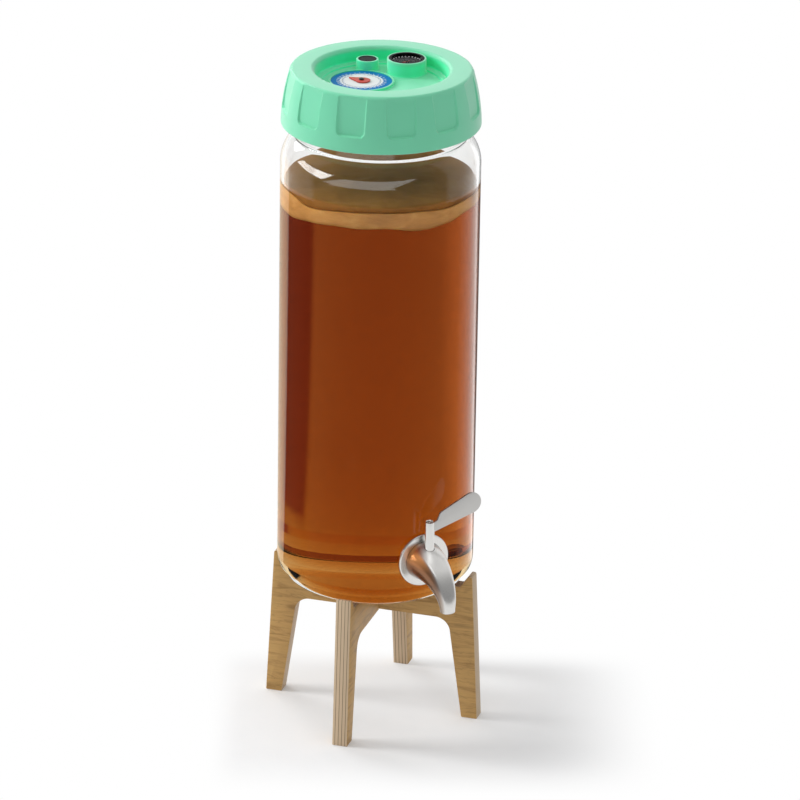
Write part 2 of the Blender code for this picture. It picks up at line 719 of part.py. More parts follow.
def make_thermometer(parts, cutters, black, face_mat, needle_mat, lens_mat):
    """Case, face, needle on its hub, clear lens and bezel."""
    top, base, face = thermo_levels()
    px, py = lid_place(THERMO_X, THERMO_Y)
    inner = THERMO_INNER
    ledge = face - THERMO_FACE_THICKNESS - GAP
    rim = top - THERMO_BEZEL_HEIGHT - GAP
    case = turned("thermometer_case",
                  [(0.0, ledge), (inner, ledge), (inner, rim), (THERMO_RADIUS, rim),
                   (THERMO_RADIUS, base), (0.0, base)],
                  RING_STEPS, parts, (px, py, 0.0))
    well = cylinder("hub_well", HUB_RADIUS + GAP, THERMO_FACE_DEPTH, SMALL_STEPS,
                    (px, py, ledge), "Z", cutters)
    combine(case, well, "DIFFERENCE")
    case.data.materials.append(black)
    disc = turned("thermometer_face",
                  ring_profile(HUB_RADIUS + GAP, inner - GAP,
                               face - THERMO_FACE_THICKNESS, face),
                  RING_STEPS, parts, (px, py, 0.0))
    disc.data.materials.append(face_mat)
    make_needle(parts, cutters, needle_mat, face + GAP)
    head = face + GAP + NEEDLE_THICKNESS + GAP
    low = ledge - THERMO_FACE_DEPTH / 2 + GAP
    hub = turned("thermometer_hub",
                 [(0.0, head + HUB_HEAD_HEIGHT), (HUB_HEAD, head + HUB_HEAD_HEIGHT),
                  (HUB_HEAD, head), (HUB_RADIUS, head), (HUB_RADIUS, low), (0.0, low)],
                 SMALL_STEPS, parts, (px, py, 0.0))
    hub.data.materials.append(black)
    lens_high = rim
    lens = turned("thermometer_lens",
                  [(0.0, lens_high), (inner - GAP, lens_high),
                   (inner - GAP, lens_high - THERMO_LENS_THICKNESS),
                   (0.0, lens_high - THERMO_LENS_THICKNESS)],
                  RING_STEPS, parts, (px, py, 0.0))
    lens.data.materials.append(lens_mat)
    bezel = turned("thermometer_bezel",
                   ring_profile(THERMO_RADIUS - THERMO_BEZEL_WIDTH, THERMO_RADIUS,
                                top - THERMO_BEZEL_HEIGHT, top, THERMO_BEZEL_HEIGHT / 3),
                   RING_STEPS, parts, (px, py, 0.0))
    bezel.data.materials.append(black)


def make_needle(parts, cutters, mat, low):
    """A tapered needle with a round eye on the hub."""
    half = NEEDLE_WIDTH / 2
    spread = math.asin(half / NEEDLE_EYE)
    outline = [(NEEDLE_LENGTH, 0.0)]
    outline += arc((0.0, 0.0), NEEDLE_EYE, spread, math.pi - spread, ARC_STEPS)
    outline += [(-NEEDLE_TAIL, half), (-NEEDLE_TAIL, -half)]
    outline += arc((0.0, 0.0), NEEDLE_EYE, math.pi + spread, 2 * math.pi - spread, ARC_STEPS)
    needle = plate("thermometer_needle", outline, NEEDLE_THICKNESS, parts)
    px, py = lid_place(THERMO_X, THERMO_Y)
    needle.location = (px, py, low + NEEDLE_THICKNESS / 2)
    needle.rotation_euler = (0.0, 0.0, NEEDLE_ANGLE)
    bpy.context.view_layer.update()
    eye = cylinder("needle_eye", HUB_RADIUS + GAP / 2, OVERRUN, SMALL_STEPS,
                   tuple(needle.location), "Z", cutters)
    combine(needle, eye, "DIFFERENCE")
    needle.data.materials.append(mat)
    return needle


# Vent

def make_vent_filter(parts, mat):
    """A slightly dished filter disc pressed into the vent's seat."""
    top = FLOOR_TOP - RECESS_STEP + VENT_BOSS_HEIGHT
    px, py = lid_place(VENT_X, VENT_Y)
    profile = [(0.0, top - VENT_DISH), (VENT_RADIUS - VENT_DISH, top - VENT_DISH),
               (VENT_RADIUS, top), (VENT_RADIUS, top - VENT_DEPTH), (0.0, top - VENT_DEPTH)]
    disc = turned("vent_filter", profile, RING_STEPS, parts, (px, py, 0.0))
    disc.data.materials.append(mat)
    return disc


# Tap

def tap_ring(name, inner, outer, near, far, parts, mat, chamfer=0.0):
    """A ring about the tap's axis between two distances from the jar's axis."""
    profile = ring_profile(inner, outer, near, far, chamfer)
    ring = turned(name, profile, RING_STEPS, parts)
    ring.rotation_euler = (math.pi / 2, 0.0, 0.0)
    ring.location = (0.0, AXIS_Y, TAP_AXIS)
    bpy.context.view_layer.update()
    ring.data.materials.append(mat)
    return ring


def glass_cylinder(name, radius, cutters):
    """An upright cylinder about the jar's axis, as tall as the tap's flange."""
    return cylinder(name, radius, 4 * FLANGE_RADIUS, 2 * JAR_STEPS,
                    (0.0, AXIS_Y, TAP_AXIS), "Z", cutters)


def make_tap_seals(parts, cutters, rubber, steel):
    """Gaskets on both sides of the glass, the washer, the nut and the flange."""
    bore = SHANK_RADIUS + GAP
    outer = tap_ring("tap_outer_gasket", bore, OUTER_GASKET_RADIUS,
                     JAR_RADIUS - GLASS, FLANGE_BACK - GAP, parts, rubber)
    combine(outer, glass_cylinder("outer_gasket_cutter", GASKET_FACE, cutters), "DIFFERENCE")
    inner_face = JAR_RADIUS - GLASS - GAP
    near = JAR_RADIUS - GLASS - INNER_GASKET_THICKNESS
    inner = tap_ring("tap_inner_gasket", bore, INNER_GASKET_RADIUS, near,
                     JAR_RADIUS, parts, rubber)
    combine(inner, glass_cylinder("inner_gasket_cutter", inner_face, cutters), "INTERSECT")
    washer_near = near - GAP - WASHER_THICKNESS
    tap_ring("tap_washer", bore, WASHER_RADIUS, washer_near, near - GAP, parts, steel)
    nut_far = washer_near - GAP
    make_nut(parts, cutters, bore, nut_far - NUT_THICKNESS, nut_far, steel)
    tap_ring("tap_flange", bore, FLANGE_RADIUS, FLANGE_BACK, FLANGE_BACK + FLANGE_THICKNESS,
             parts, steel, FLANGE_ROUND)


def make_nut(parts, cutters, bore, near, far, mat):
    """The hexagonal nut that pulls the tap tight from inside the jar."""
    place = (0.0, AXIS_Y - (near + far) / 2, TAP_AXIS)
    nut = cylinder("tap_nut", NUT_RADIUS, far - near, 6, place, "Y", parts)
    hole = cylinder("nut_bore", bore, far - near + OVERRUN, RING_STEPS, place, "Y", cutters)
    combine(nut, hole, "DIFFERENCE")
    nut.data.materials.append(mat)
    return nut


def horn_point(share):
    """Centre line of the spout: a quarter ellipse from level to straight down."""
    angle = share * math.pi / 2
    start = HORN_ROOT + HORN_ROOT_RUN
    end = JAR_RADIUS + TAP_REACH
    out = start + (end - start) * math.sin(angle)
    drop = OUTLET_DROP - OUTLET_RUN
    height = TAP_AXIS - drop + drop * math.cos(angle)
    return (0.0, AXIS_Y - out, height)


def horn_radius(share):
    """Radius of the spout, wide at its root and slender at the outlet."""
    taper = (1.0 - share) ** HORN_TAPER_SHARE
    return OUTLET_RADIUS + (HORN_ROOT_RADIUS - OUTLET_RADIUS) * taper


def make_tap_body(parts, cutters, mat):
    """The horn-shaped spout with its shank, waterway and stem bore."""
    shares = [i / (4 * ARC_STEPS) for i in range(4 * ARC_STEPS + 1)]
    points = [(0.0, AXIS_Y - HORN_ROOT, TAP_AXIS)]
    points += [horn_point(share) for share in shares]
    points.append((points[-1][0], points[-1][1], TAP_AXIS - OUTLET_DROP))
    radii = [horn_radius(0.0)]
    radii += [horn_radius(share) for share in shares]
    radii.append(OUTLET_RADIUS)
    body = tube("tap_body", points, radii, 24, parts)
    near = JAR_RADIUS - GLASS - SHANK_INSIDE
    length = HORN_ROOT - near + OVERRUN
    shank = cylinder("shank_blank", SHANK_RADIUS, length, RING_STEPS,
                     (0.0, AXIS_Y - near - length / 2, TAP_AXIS), "Y", cutters)
    combine(body, shank, "UNION")
    first = [(0.0, AXIS_Y - near + OVERRUN, TAP_AXIS)]
    bore_points = first + [horn_point(share) for share in shares[1:]]
    bore_radii = [WATERWAY_RADIUS]
    for share in shares[1:]:
        bore_radii.append(WATERWAY_RADIUS + (OUTLET_BORE - WATERWAY_RADIUS) * share)
    end = bore_points[-1]
    bore_points.append((end[0], end[1], end[2] - OUTLET_RUN - OVERRUN))
    bore_radii.append(OUTLET_BORE)
    bore = tube("waterway_cutter", bore_points, bore_radii, 16, cutters)
    combine(body, bore, "DIFFERENCE")
    combine(body, stem_cutter(cutters), "DIFFERENCE")
    shade_round(body)
    body.data.materials.clear()
    body.data.materials.append(mat)
    return body


def stem_cutter(cutters):
    """Bore for the stem, with a wider seat for its seal."""
    radius = STEM_RADIUS + STEM_CLEARANCE
    low = -STEM_FOOT - STEM_CLEARANCE
    seat = radius + SEAL_WIDTH
    high = HORN_ROOT_RADIUS + OVERRUN
    seat_low = SEAL_LEVEL - STEM_CLEARANCE
    seat_high = SEAL_LEVEL + SEAL_HEIGHT + STEM_CLEARANCE
    profile = [(0.0, high), (radius, high), (radius, seat_high), (seat, seat_high),
               (seat, seat_low), (radius, seat_low), (radius, low), (0.0, low)]
    return turned("stem_cutter", profile, RING_STEPS - 4, cutters,
                  (0.0, AXIS_Y - STEM_OUT, TAP_AXIS))


def make_tap_stem(parts, cutters, mat):
    """The stem: its foot is the valve's plug, with the port across it when shut."""
    profile = [(0.0, STEM_TOP), (STEM_RADIUS - STEM_TOP_ROUND, STEM_TOP),
               (STEM_RADIUS, STEM_TOP - STEM_TOP_ROUND), (STEM_RADIUS, -STEM_FOOT),
               (0.0, -STEM_FOOT)]
    stem = turned("tap_stem", profile, RING_STEPS - 4, parts,
                  (0.0, AXIS_Y - STEM_OUT, TAP_AXIS))
    port = cylinder("port_cutter", WATERWAY_RADIUS, 4 * STEM_RADIUS, SMALL_STEPS,
                    (0.0, AXIS_Y - STEM_OUT, TAP_AXIS), "X", cutters)
    combine(stem, port, "DIFFERENCE")
    low = STEM_TOP - LEVER_ROOT_DROP - GAP
    height = LEVER_ROOT_DROP + OVERRUN
    width = 2 * STEM_RADIUS
    bpy.ops.mesh.primitive_cube_add(size=1.0)
    slot = bpy.context.object
    slot.name = "lever_slot_cutter"
    slot.scale = (width, LEVER_THICKNESS + 2 * GAP, height)
    slot.location = (width / 2, AXIS_Y - STEM_OUT, TAP_AXIS + low + height / 2)
    put_in(slot, cutters)
    combine(stem, slot, "DIFFERENCE")
    shade_round(stem)
    stem.data.materials.clear()
    stem.data.materials.append(mat)
    return stem


def make_tap_seal(parts, mat):
    """The seal ring round the stem inside the tap's body."""
    inner = STEM_RADIUS + STEM_CLEARANCE
    profile = ring_profile(inner, inner + SEAL_WIDTH - GAP, SEAL_LEVEL,
                           SEAL_LEVEL + SEAL_HEIGHT)
    seal = turned("tap_stem_seal", profile, SMALL_STEPS, parts,
                  (0.0, AXIS_Y - STEM_OUT, TAP_AXIS))
    seal.data.materials.append(mat)
    return seal


def lever_outline():
    """The lever's blade: a waist at the stem, a shoulder and a widening round end."""
    root = GAP
    low = STEM_TOP - LEVER_ROOT_DROP
    high = low + LEVER_ROOT_HEIGHT
    tip_x = LEVER_LENGTH - LEVER_TIP_RADIUS
    rise = LEVER_LOW_RISE + LEVER_TIP_RADIUS
    tip = (tip_x, low + rise)
    shoulder = (LEVER_SHOULDER, STEM_TOP + LEVER_SHOULDER_RISE)
    waist = (LEVER_NECK, STEM_TOP + LEVER_EDGE)
    outline = [(root, high), (root, low), (STEM_RADIUS, low)]
    outline += arc(tip, LEVER_TIP_RADIUS, math.radians(-75.0), math.radians(113.0),
                   3 * ARC_STEPS)
    outline += [shoulder, waist, (STEM_RADIUS + LEVER_EDGE, high)]
    return outline


def make_tap_lever(parts, mat):
    """The flat steel blade that turns the stem."""
    lever = plate("tap_lever", lever_outline(), LEVER_THICKNESS, parts)
    round_edges(lever, LEVER_EDGE)
    lever.rotation_euler = (math.pi / 2, 0.0, 0.0)
    lever.location = (0.0, AXIS_Y - STEM_OUT, TAP_AXIS)
    lever.data.materials.append(mat)
    return lever


def main():
    """Build the fermenter."""
    clear_scene()
    parts = make_collection("kombucha_fermenter")
    cutters = make_collection("cutters")
    plywood = material("birch_plywood", (0.42, 0.24, 0.11), 0.6)
    glass = material("clear_glass", (0.95, 0.96, 0.95), 0.03, transmission=1.0)
    mint = material("mint_plastic", (0.30, 0.74, 0.52), 0.42)
    seal = material("silicone", (0.75, 0.75, 0.72), 0.6)
    steel = material("brushed_steel", (0.62, 0.61, 0.59), 0.28, metallic=1.0)
    bright = material("polished_steel", (0.70, 0.69, 0.68), 0.12, metallic=1.0)
    card = material("dial_card", (0.85, 0.88, 0.92), 0.5)
    red = material("pointer_red", (0.62, 0.05, 0.03), 0.35)
    black = material("black_plastic", (0.02, 0.02, 0.02), 0.35)
    felt = material("filter_black", (0.015, 0.015, 0.015), 0.9)
    clear = material("lens_plastic", (0.95, 0.95, 0.95), 0.05, transmission=1.0)
    make_frame("stand_frame_a", math.radians(45.0), False, parts, plywood)
    make_frame("stand_frame_b", math.radians(-45.0), True, parts, plywood)
    make_jar(parts, cutters, glass)
    make_lid(parts, cutters, mint)
    make_lid_gasket(parts, seal)
    make_date_dial(parts, card)
    make_date_pointer(parts, cutters, red)
    make_date_pivot(parts, black)
    make_thermometer(parts, cutters, black, black, red, clear)
    make_vent_filter(parts, felt)
    make_tap_seals(parts, cutters, seal, steel)
    make_tap_body(parts, cutters, bright)
    make_tap_stem(parts, cutters, steel)
    make_tap_seal(parts, seal)
    make_tap_lever(parts, steel)


main()
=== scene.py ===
"""Kombucha fermenter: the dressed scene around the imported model.

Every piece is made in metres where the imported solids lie.  Each operator makes one
piece or one group of like pieces; main() calls them in order.
"""

import math

import bmesh
import bpy
from bpy.props import FloatProperty, FloatVectorProperty, IntProperty, PointerProperty
from mathutils import Matrix, Vector, noise


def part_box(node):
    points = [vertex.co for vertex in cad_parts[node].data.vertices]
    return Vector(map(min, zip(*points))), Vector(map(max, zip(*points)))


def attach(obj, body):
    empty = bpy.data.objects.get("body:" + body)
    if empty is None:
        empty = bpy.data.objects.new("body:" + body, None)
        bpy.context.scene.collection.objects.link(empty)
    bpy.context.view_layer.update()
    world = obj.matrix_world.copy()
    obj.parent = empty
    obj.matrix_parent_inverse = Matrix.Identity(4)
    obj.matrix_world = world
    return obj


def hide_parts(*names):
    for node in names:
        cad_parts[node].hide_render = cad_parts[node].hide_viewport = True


bl_info = {
    "name": "Kombucha Fermenter",
    "version": (1, 0, 0),
    "blender": (4, 5, 0),
    "location": "3D View > Sidebar > Fermenter",
    "description": "Dresses a glass fermenter with its lid, tap and plywood stand",
    "category": "Add Mesh",
}

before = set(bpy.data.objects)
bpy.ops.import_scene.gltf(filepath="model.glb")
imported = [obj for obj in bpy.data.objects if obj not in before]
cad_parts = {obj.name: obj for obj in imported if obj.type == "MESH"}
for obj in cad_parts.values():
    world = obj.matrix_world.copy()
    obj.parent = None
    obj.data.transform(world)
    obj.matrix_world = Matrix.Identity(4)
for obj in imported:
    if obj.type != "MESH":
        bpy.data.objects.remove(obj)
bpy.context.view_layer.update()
MM = 0.001
CIRCLE = 2 * math.pi
WHITE = (1.0, 1.0, 1.0)

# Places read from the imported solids
JAR_LOW, JAR_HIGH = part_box("glass_jar")
LID_LOW, LID_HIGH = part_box("lid_shell")
FLANGE_LOW, FLANGE_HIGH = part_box("tap_flange")
BODY_LOW, BODY_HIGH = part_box("tap_body")
STEM_LOW, STEM_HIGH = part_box("tap_stem")
DIAL_LOW, DIAL_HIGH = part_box("date_dial")
POINTER_LOW, POINTER_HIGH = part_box("date_pointer")
PIVOT_LOW, PIVOT_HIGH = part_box("date_pivot")
THERMO_LOW, THERMO_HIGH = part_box("thermometer_bezel")
FACE_LOW, FACE_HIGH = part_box("thermometer_face")
VENT_LOW, VENT_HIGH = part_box("vent_filter")

JAR_RADIUS = (JAR_HIGH.x - JAR_LOW.x) / 2
AXIS = Vector((0.0, (JAR_LOW.y + JAR_HIGH.y) / 2, 0.0))
JAR_BASE = JAR_LOW.z
RIM_TOP = JAR_HIGH.z
LID_TOP = LID_HIGH.z
LID_FOOT = LID_LOW.z
LID_RADIUS = (LID_HIGH.x - LID_LOW.x) / 2
TAP_AXIS = (FLANGE_LOW.z + FLANGE_HIGH.z) / 2
DATE_CENTRE = (DIAL_LOW + DIAL_HIGH) / 2
DATE_RADIUS = (DIAL_HIGH.x - DIAL_LOW.x) / 2
THERMO_CENTRE = (THERMO_LOW + THERMO_HIGH) / 2
THERMO_RADIUS = (THERMO_HIGH.x - THERMO_LOW.x) / 2
FACE_RADIUS = (FACE_HIGH.x - FACE_LOW.x) / 2
VENT_CENTRE = (VENT_LOW + VENT_HIGH) / 2
VENT_RADIUS = (VENT_HIGH.x - VENT_LOW.x) / 2
STEM_CENTRE = (STEM_LOW + STEM_HIGH) / 2

# The lid's recess and grip pockets, and the neck under it
RECESS_RADIUS = 55.0 * MM
RECESS_FLOOR = LID_TOP - 12.5 * MM
SUNK_FLOOR = RECESS_FLOOR - 1.2 * MM
SKIRT_TOP = JAR_RADIUS - 6.9 * MM
LID_EDGE = 3.5 * MM
POCKETS = 12
POCKET_HALF = 12.0 * MM
POCKET_LENGTH = 33.0 * MM
POCKET_PHASE = math.radians(14.0)
NECK_RADIUS = JAR_RADIUS - 14.5 * MM
SKIRT_INNER = NECK_RADIUS + 3.5 * MM
THREAD_LOW = RIM_TOP - 16.0 * MM
PIN_HOLE = 1.6 * MM

# Heights in the jar, in mm, at degrees right of the camera: the wavy line under the
# culture, and the line between the culture and its pale layer
WAVE = ((-180, 337), (-110, 333), (-66, 331), (-45, 334.2), (-20, 336.4), (2, 337.0),
        (24, 334.2), (45, 335.4), (62, 339.4), (110, 341), (180, 337))
SEAM = ((-180, 350), (-90, 352), (-64, 351.2), (-45, 346.6), (-18, 350), (0, 350.8),
        (20, 350.4), (43, 348.8), (62, 349.8), (120, 350), (180, 350))
WAVE_MIDDLE = 337.0 * MM
SEAM_MIDDLE = 347.0 * MM

# The camera, fitted to the photograph: angles in degrees, lengths in metres
VIEW_TURN = math.radians(-27.94)
VIEW_ELEVATION = 21.69
VIEW_HEIGHT = 0.3094
VIEW_DISTANCE = 4.6406
VIEW_PAN = -0.2335
VIEW_TILT = -0.3722
VIEW_ROLL = 0.809
SENSOR_WIDTH = 36.0
FOCAL_SHARE = 5582.5 / 800.0

# What clear walls and steel mirror, by degrees right of the camera
MIRROR_LEVELS = ((-180, 0.85), (-165, 0.95), (-150, 1.15), (-128, 1.3), (-125, 0.05),
                 (-84, 0.04), (-74, 0.10), (78, 0.08), (100, 0.12), (122, 0.8), (140, 1.6),
                 (146, 2.0), (150, 0.9), (154, 0.15), (180, 0.15))
MIRROR_MOST = 4.0
FRONT_SCREEN = 2.2
SIDE_SCREEN = 14.0

# Limits of the mirrored screens and how softly they end.  A turn is a share of a
# circle, 0.5 towards the camera; a height is a direction's Z; a reach is in metres.
BACK_TURN = (0.27, 0.73, 0.01)
FRONT_TURN = (0.325, 0.549, 0.004)
FRONT_HEIGHT = (-0.4, 0.162, 0.008)
FRONT_LEAN, FRONT_SLOPE = -0.20, -0.32
FRONT_FLOOR_TURN = (0.335, 0.548, 0.004)
FRONT_FLOOR_REACH = (3.4, 9.0, 0.3)
SIDE_TURN = (0.172, 0.306, 0.004)
SIDE_HEIGHT = (0.02, 0.335, 0.012)
SIDE_CORNER = (0.392, 2.0, 0.012)
SIDE_LEAN, SIDE_SLOPE = -0.10, 1.23
WARM_TURN = (0.04, 0.15, 0.01)
DARK_REACH = (0.41, 1.25, 0.012)

# Where the floor turns from white to its own colour: axis, outer and inner limit
FLOOR_HALF = 6.0
FLOOR_FADES = ((0, -0.140, -0.108), (0, 0.245, 0.135), (1, -0.185, -0.105),
               (1, 0.110, 0.060))
FLOOR_KEPT = 0.86

# Azimuth, elevation, distance, size, level
KEY_LAMP = (-98.0, 27.0, 2.6, (0.8, 1.0), 0.56)
RIM_LAMP = (-142.0, 30.0, 2.6, (1.4, 1.0), 0.30)
TOP_LAMP = (10.0, 82.0, 2.6, (1.6, 1.6), 0.11)
SKY_LEVEL = 0.58


class FermenterSizes(bpy.types.PropertyGroup):
    """Sizes that the solids leave to the dressed pieces."""

    glass_wall: FloatProperty(
        name="Glass wall", description="Thickness of the jar's side",
        default=3.0 * MM, unit="LENGTH")
    base_corner: FloatProperty(
        name="Base corner", description="Outer radius between the jar's side and base",
        default=20.0 * MM, unit="LENGTH")
    culture_top: FloatProperty(
        name="Culture level", description="Height of the culture above the jar's base",
        default=355.5 * MM, unit="LENGTH")
    thread_pitch: FloatProperty(
        name="Thread pitch", description="Rise of the lid's thread in one turn",
        default=6.0 * MM, unit="LENGTH")
    date_ticks: IntProperty(
        name="Date marks", description="Marks round the date dial", default=31)
    thermometer_ticks: IntProperty(
        name="Thermometer marks", description="Marks round the thermometer", default=21)


class FermenterColours(bpy.types.PropertyGroup):
    """Colours of the finishes, as linear values."""

    mint: FloatVectorProperty(
        name="Mint plastic", description="The lid's plastic", subtype="COLOR",
        default=(0.180, 0.700, 0.430))
    tea: FloatVectorProperty(
        name="Tea", description="Light left after a set depth of tea", subtype="COLOR",
        default=(0.748, 0.510, 0.255))
    culture: FloatVectorProperty(
        name="Culture", description="The floating culture", subtype="COLOR",
        default=(0.36, 0.150, 0.034))
    plywood: FloatVectorProperty(
        name="Plywood", description="Face veneer of the stand", subtype="COLOR",
        default=(0.55, 0.335, 0.118))
    ply_edge: FloatVectorProperty(
        name="Ply edge", description="Sawn edges of the stand", subtype="COLOR",
        default=(0.74, 0.56, 0.37))
    steel: FloatVectorProperty(
        name="Steel", description="The tap's metal", subtype="COLOR",
        default=(0.74, 0.73, 0.71))
    dial_blue: FloatVectorProperty(
        name="Dial blue", description="Outer ring of the date dial", subtype="COLOR",
        default=(0.003, 0.195, 0.55))
    pointer_red: FloatVectorProperty(
        name="Pointer red", description="The date pointer", subtype="COLOR",
        default=(0.60, 0.035, 0.020))


# Nodes

class Nodes:
    """Short ways to add nodes to one tree."""

    def __init__(self, tree):
        self.tree = tree

    def fill(self, node, inputs):
        """Link sockets and set plain values; a colour of three parts becomes opaque."""
        for key, value in inputs.items():
            socket = node.inputs[key]
            if isinstance(value, bpy.types.NodeSocket):
                self.tree.links.new(value, socket)
            elif socket.type == "RGBA":
                socket.default_value = (*value[:3], 1.0)
            else:
                socket.default_value = value

    def add(self, kind, inputs=None, **settings):
        """Add a node, set its properties and fill its inputs."""
        made = self.tree.nodes.new(kind)
        for key, value in settings.items():
            setattr(made, key, value)
        self.fill(made, inputs or {})
        return made

    def maths(self, operation, first, second=0.0, third=0.0, clamp=False):
        """A Math node's result."""
        return self.add("ShaderNodeMath", {0: first, 1: second, 2: third},
                        operation=operation, use_clamp=clamp).outputs[0]

    def times(self, first, *others):
        """The product of values."""
        for other in others:
            first = self.maths("MULTIPLY", first, other)
        return first

    def scaled(self, value, factor, base):
        """A value times a factor, plus a base."""
        return self.maths("MULTIPLY_ADD", value, factor, base)

    def greatest(self, first, *others):
        """The greatest of values."""
        for other in others:
            first = self.maths("MAXIMUM", first, other)
        return first

    def less(self, first, second):
        """One value less another, not under zero."""
        return self.maths("SUBTRACT", first, second, clamp=True)

    def span(self, value, low, high, start=0.0, end=1.0, smooth=False):
        """Carry a value from low..high to start..end and hold it beyond them."""
        return self.add("ShaderNodeMapRange", {0: value, 1: low, 2: high, 3: start, 4: end},
                        interpolation_type="SMOOTHSTEP" if smooth else "LINEAR").outputs[0]

    def window(self, value, low, high, soft):
        """1 where a value lies between two limits, fading to 0 beyond them."""
        return self.times(self.span(value, low - soft, low + soft),
                          self.span(value, high - soft, high + soft, 1.0, 0.0))

    def choose(self, factor, first, second):
        """Blend two values."""
        return self.add("ShaderNodeMix", {0: factor, 2: first, 3: second}).outputs[0]

    def mix(self, factor, first, second, blend="MIX"):
        """Blend two colours."""
        return self.add("ShaderNodeMix", {0: factor, 6: first, 7: second},
                        data_type="RGBA", blend_type=blend).outputs[2]

    def ramp(self, factor, *stops):
        """A colour ramp from (position, colour or grey level) stops."""
        made = self.add("ShaderNodeValToRGB", {0: factor})
        elements = made.color_ramp.elements
        while len(elements) < len(stops):
            elements.new(1.0)
        for element, (position, colour) in zip(elements, stops):
            element.position = position
            if isinstance(colour, float):
                colour = (colour,) * 3
            element.color = (*colour[:3], 1.0)
        return made.outputs[0]

    def noise(self, vector, scale, detail=2.0, roughness=0.5, distortion=0.0):
        """A noise texture's factor."""
        return self.add("ShaderNodeTexNoise",
                        {"Vector": vector, "Scale": scale, "Detail": detail,
                         "Roughness": roughness, "Distortion": distortion}).outputs[0]

    def parts(self, vector):
        """X, Y and Z of a vector."""
        return self.add("ShaderNodeSeparateXYZ", {0: vector}).outputs

    def length(self, vector):
        """Length of a vector."""
        return self.add("ShaderNodeVectorMath", {0: vector},
                        operation="LENGTH").outputs["Value"]

    def facing(self, vector, direction):
        """How far a vector points in a direction."""
        return self.add("ShaderNodeVectorMath", {0: vector, 1: tuple(direction)},
                        operation="DOT_PRODUCT").outputs["Value"]

    def place(self, turn=0.0, scale=(1.0, 1.0, 1.0), origin=(0.0, 0.0, 0.0)):
        """Object coordinates about an origin, turned about Z and then scaled."""
        spot = self.add("ShaderNodeTexCoord").outputs["Object"]
        for step in ({"Location": tuple(-Vector(origin))},
                     {"Rotation": (0.0, 0.0, -turn)}, {"Scale": scale}):
            spot = self.add("ShaderNodeMapping", {"Vector": spot, **step}).outputs[0]
        return spot

    def from_axis(self, origin=AXIS):
        """Distance from an upright axis."""
        return self.length(self.place(scale=(1.0, 1.0, 0.0), origin=origin))

    def height(self, low, high):
        """0 at one height and 1 at another."""
        return self.span(self.parts(self.place())[2], low, high)


class Finish(Nodes):
    """A node material built round its Principled shader."""

    def __init__(self, name):
        self.mat = bpy.data.materials.new(name)
        self.mat.use_nodes = True
        super().__init__(self.mat.node_tree)
        self.shader = self.tree.nodes["Principled BSDF"]
        self.output = self.tree.nodes["Material Output"]

    def set(self, **inputs):
        """Set shader inputs, named with _ for a space."""
        self.fill(self.shader, {key.replace("_", " "): value for key, value in inputs.items()})

    def soften(self, weight, radius, scale):
        """Let light in under the surface."""
        self.set(Subsurface_Weight=weight, Subsurface_Radius=radius, Subsurface_Scale=scale)

    def bump(self, height, strength, distance):
        """Feed a height to the shader's normal."""
        made = self.add("ShaderNodeBump",
                        {"Height": height, "Strength": strength, "Distance": distance})
        self.set(Normal=made.outputs[0])

    def surface(self, factor, first, second):
        """Blend two shaders and give the result to the material."""
        mixed = self.add("ShaderNodeMixShader", {0: factor, 1: first, 2: second}).outputs[0]
        self.fill(self.output, {"Surface": mixed})
        return mixed

    def let_lamps_through(self, tint):
        """Let rays from lamps pass a clear piece, tinted, so that what is inside is lit."""
        clear = self.add("ShaderNodeBsdfTransparent", {0: tint})
        path = self.add("ShaderNodeLightPath").outputs
        self.surface(path["Is Shadow Ray"], self.shader.outputs[0], clear.outputs[0])


def tinted(colour, factor):
    """A colour times a factor."""
    return tuple(c * factor for c in colour)


# Materials

def mint_plastic(colour):
    """Satin translucent moulding, with painted shade: a richer, more saturated green on the
    walls inside the recess.
    """
    paint = Finish("mint_plastic")
    place, out = paint.place(), paint.from_axis()
    outer = paint.mix(paint.noise(place, 60.0, 3.0), tinted(colour, 0.94), colour)
    # Painted shade: a richer, more saturated green for the recess walls, weaker on the seats'
    # walls and on flat floors.
    recess_shade_green = (0.0, min(1.0, colour[1] * 1.32), colour[2] * 1.02)
    inside = paint.span(out, RECESS_RADIUS + 2.5 * MM, RECESS_RADIUS - 1.0 * MM, smooth=True)
    level = paint.span(paint.parts(place)[2], LID_TOP - 1.0 * MM, LID_TOP - 5.0 * MM,
                       smooth=True)
    upward = paint.parts(paint.add("ShaderNodeNewGeometry").outputs["Normal"])[2]
    wall = paint.span(upward, 0.9, 0.4, 0.30, 1.0, smooth=True)
    middle = paint.span(out, 46.0 * MM, 50.0 * MM, 0.55, 1.0)
    recess_shade_mask = paint.times(inside, level, wall, middle)
    fine = paint.noise(place, 1500.0, 2.0)
    paint.set(Base_Color=paint.mix(recess_shade_mask, outer, recess_shade_green),
              Roughness=paint.scaled(fine, 0.12, 0.40), Sheen_Weight=0.55,
              Sheen_Roughness=0.45, Sheen_Tint=(0.93, 1.0, 0.97))
    paint.soften(0.12, (0.4, 1.0, 0.7), 1.6 * MM)
    paint.bump(fine, 0.22, 0.08 * MM)
    return paint.mat


def clear_glass(name="clear_glass", ior=1.42, outline=None):
    """Clear soda glass, barely uneven; an outline colour paints shade on its foot as a dark
    line, and ambers the glass above it.
    """
    paint = Finish(name)
    paint.set(Base_Color=(0.985, 0.992, 0.988), Transmission_Weight=1.0, IOR=ior,
              Roughness=0.0)
    if outline:
        # Painted shade: the outline colour darkens the bottom of the glass into a dark rim
        # line.
        height = paint.height(JAR_BASE, JAR_BASE + 20.0 * MM)
        paint.set(Base_Color=paint.ramp(
            height, (0.34, outline), (0.40, (0.985, 0.985, 0.98)), (0.6, (0.96, 0.74, 0.42)),
            (1.0, (0.92, 0.66, 0.36))))
    if ior > 1.0:
        place = paint.place(scale=(1.0, 1.0, 0.25))
        paint.bump(paint.noise(place, 9.0, 1.0), 0.06, 1.0 * MM)
    paint.let_lamps_through((0.95, 0.96, 0.955))
    return paint.mat


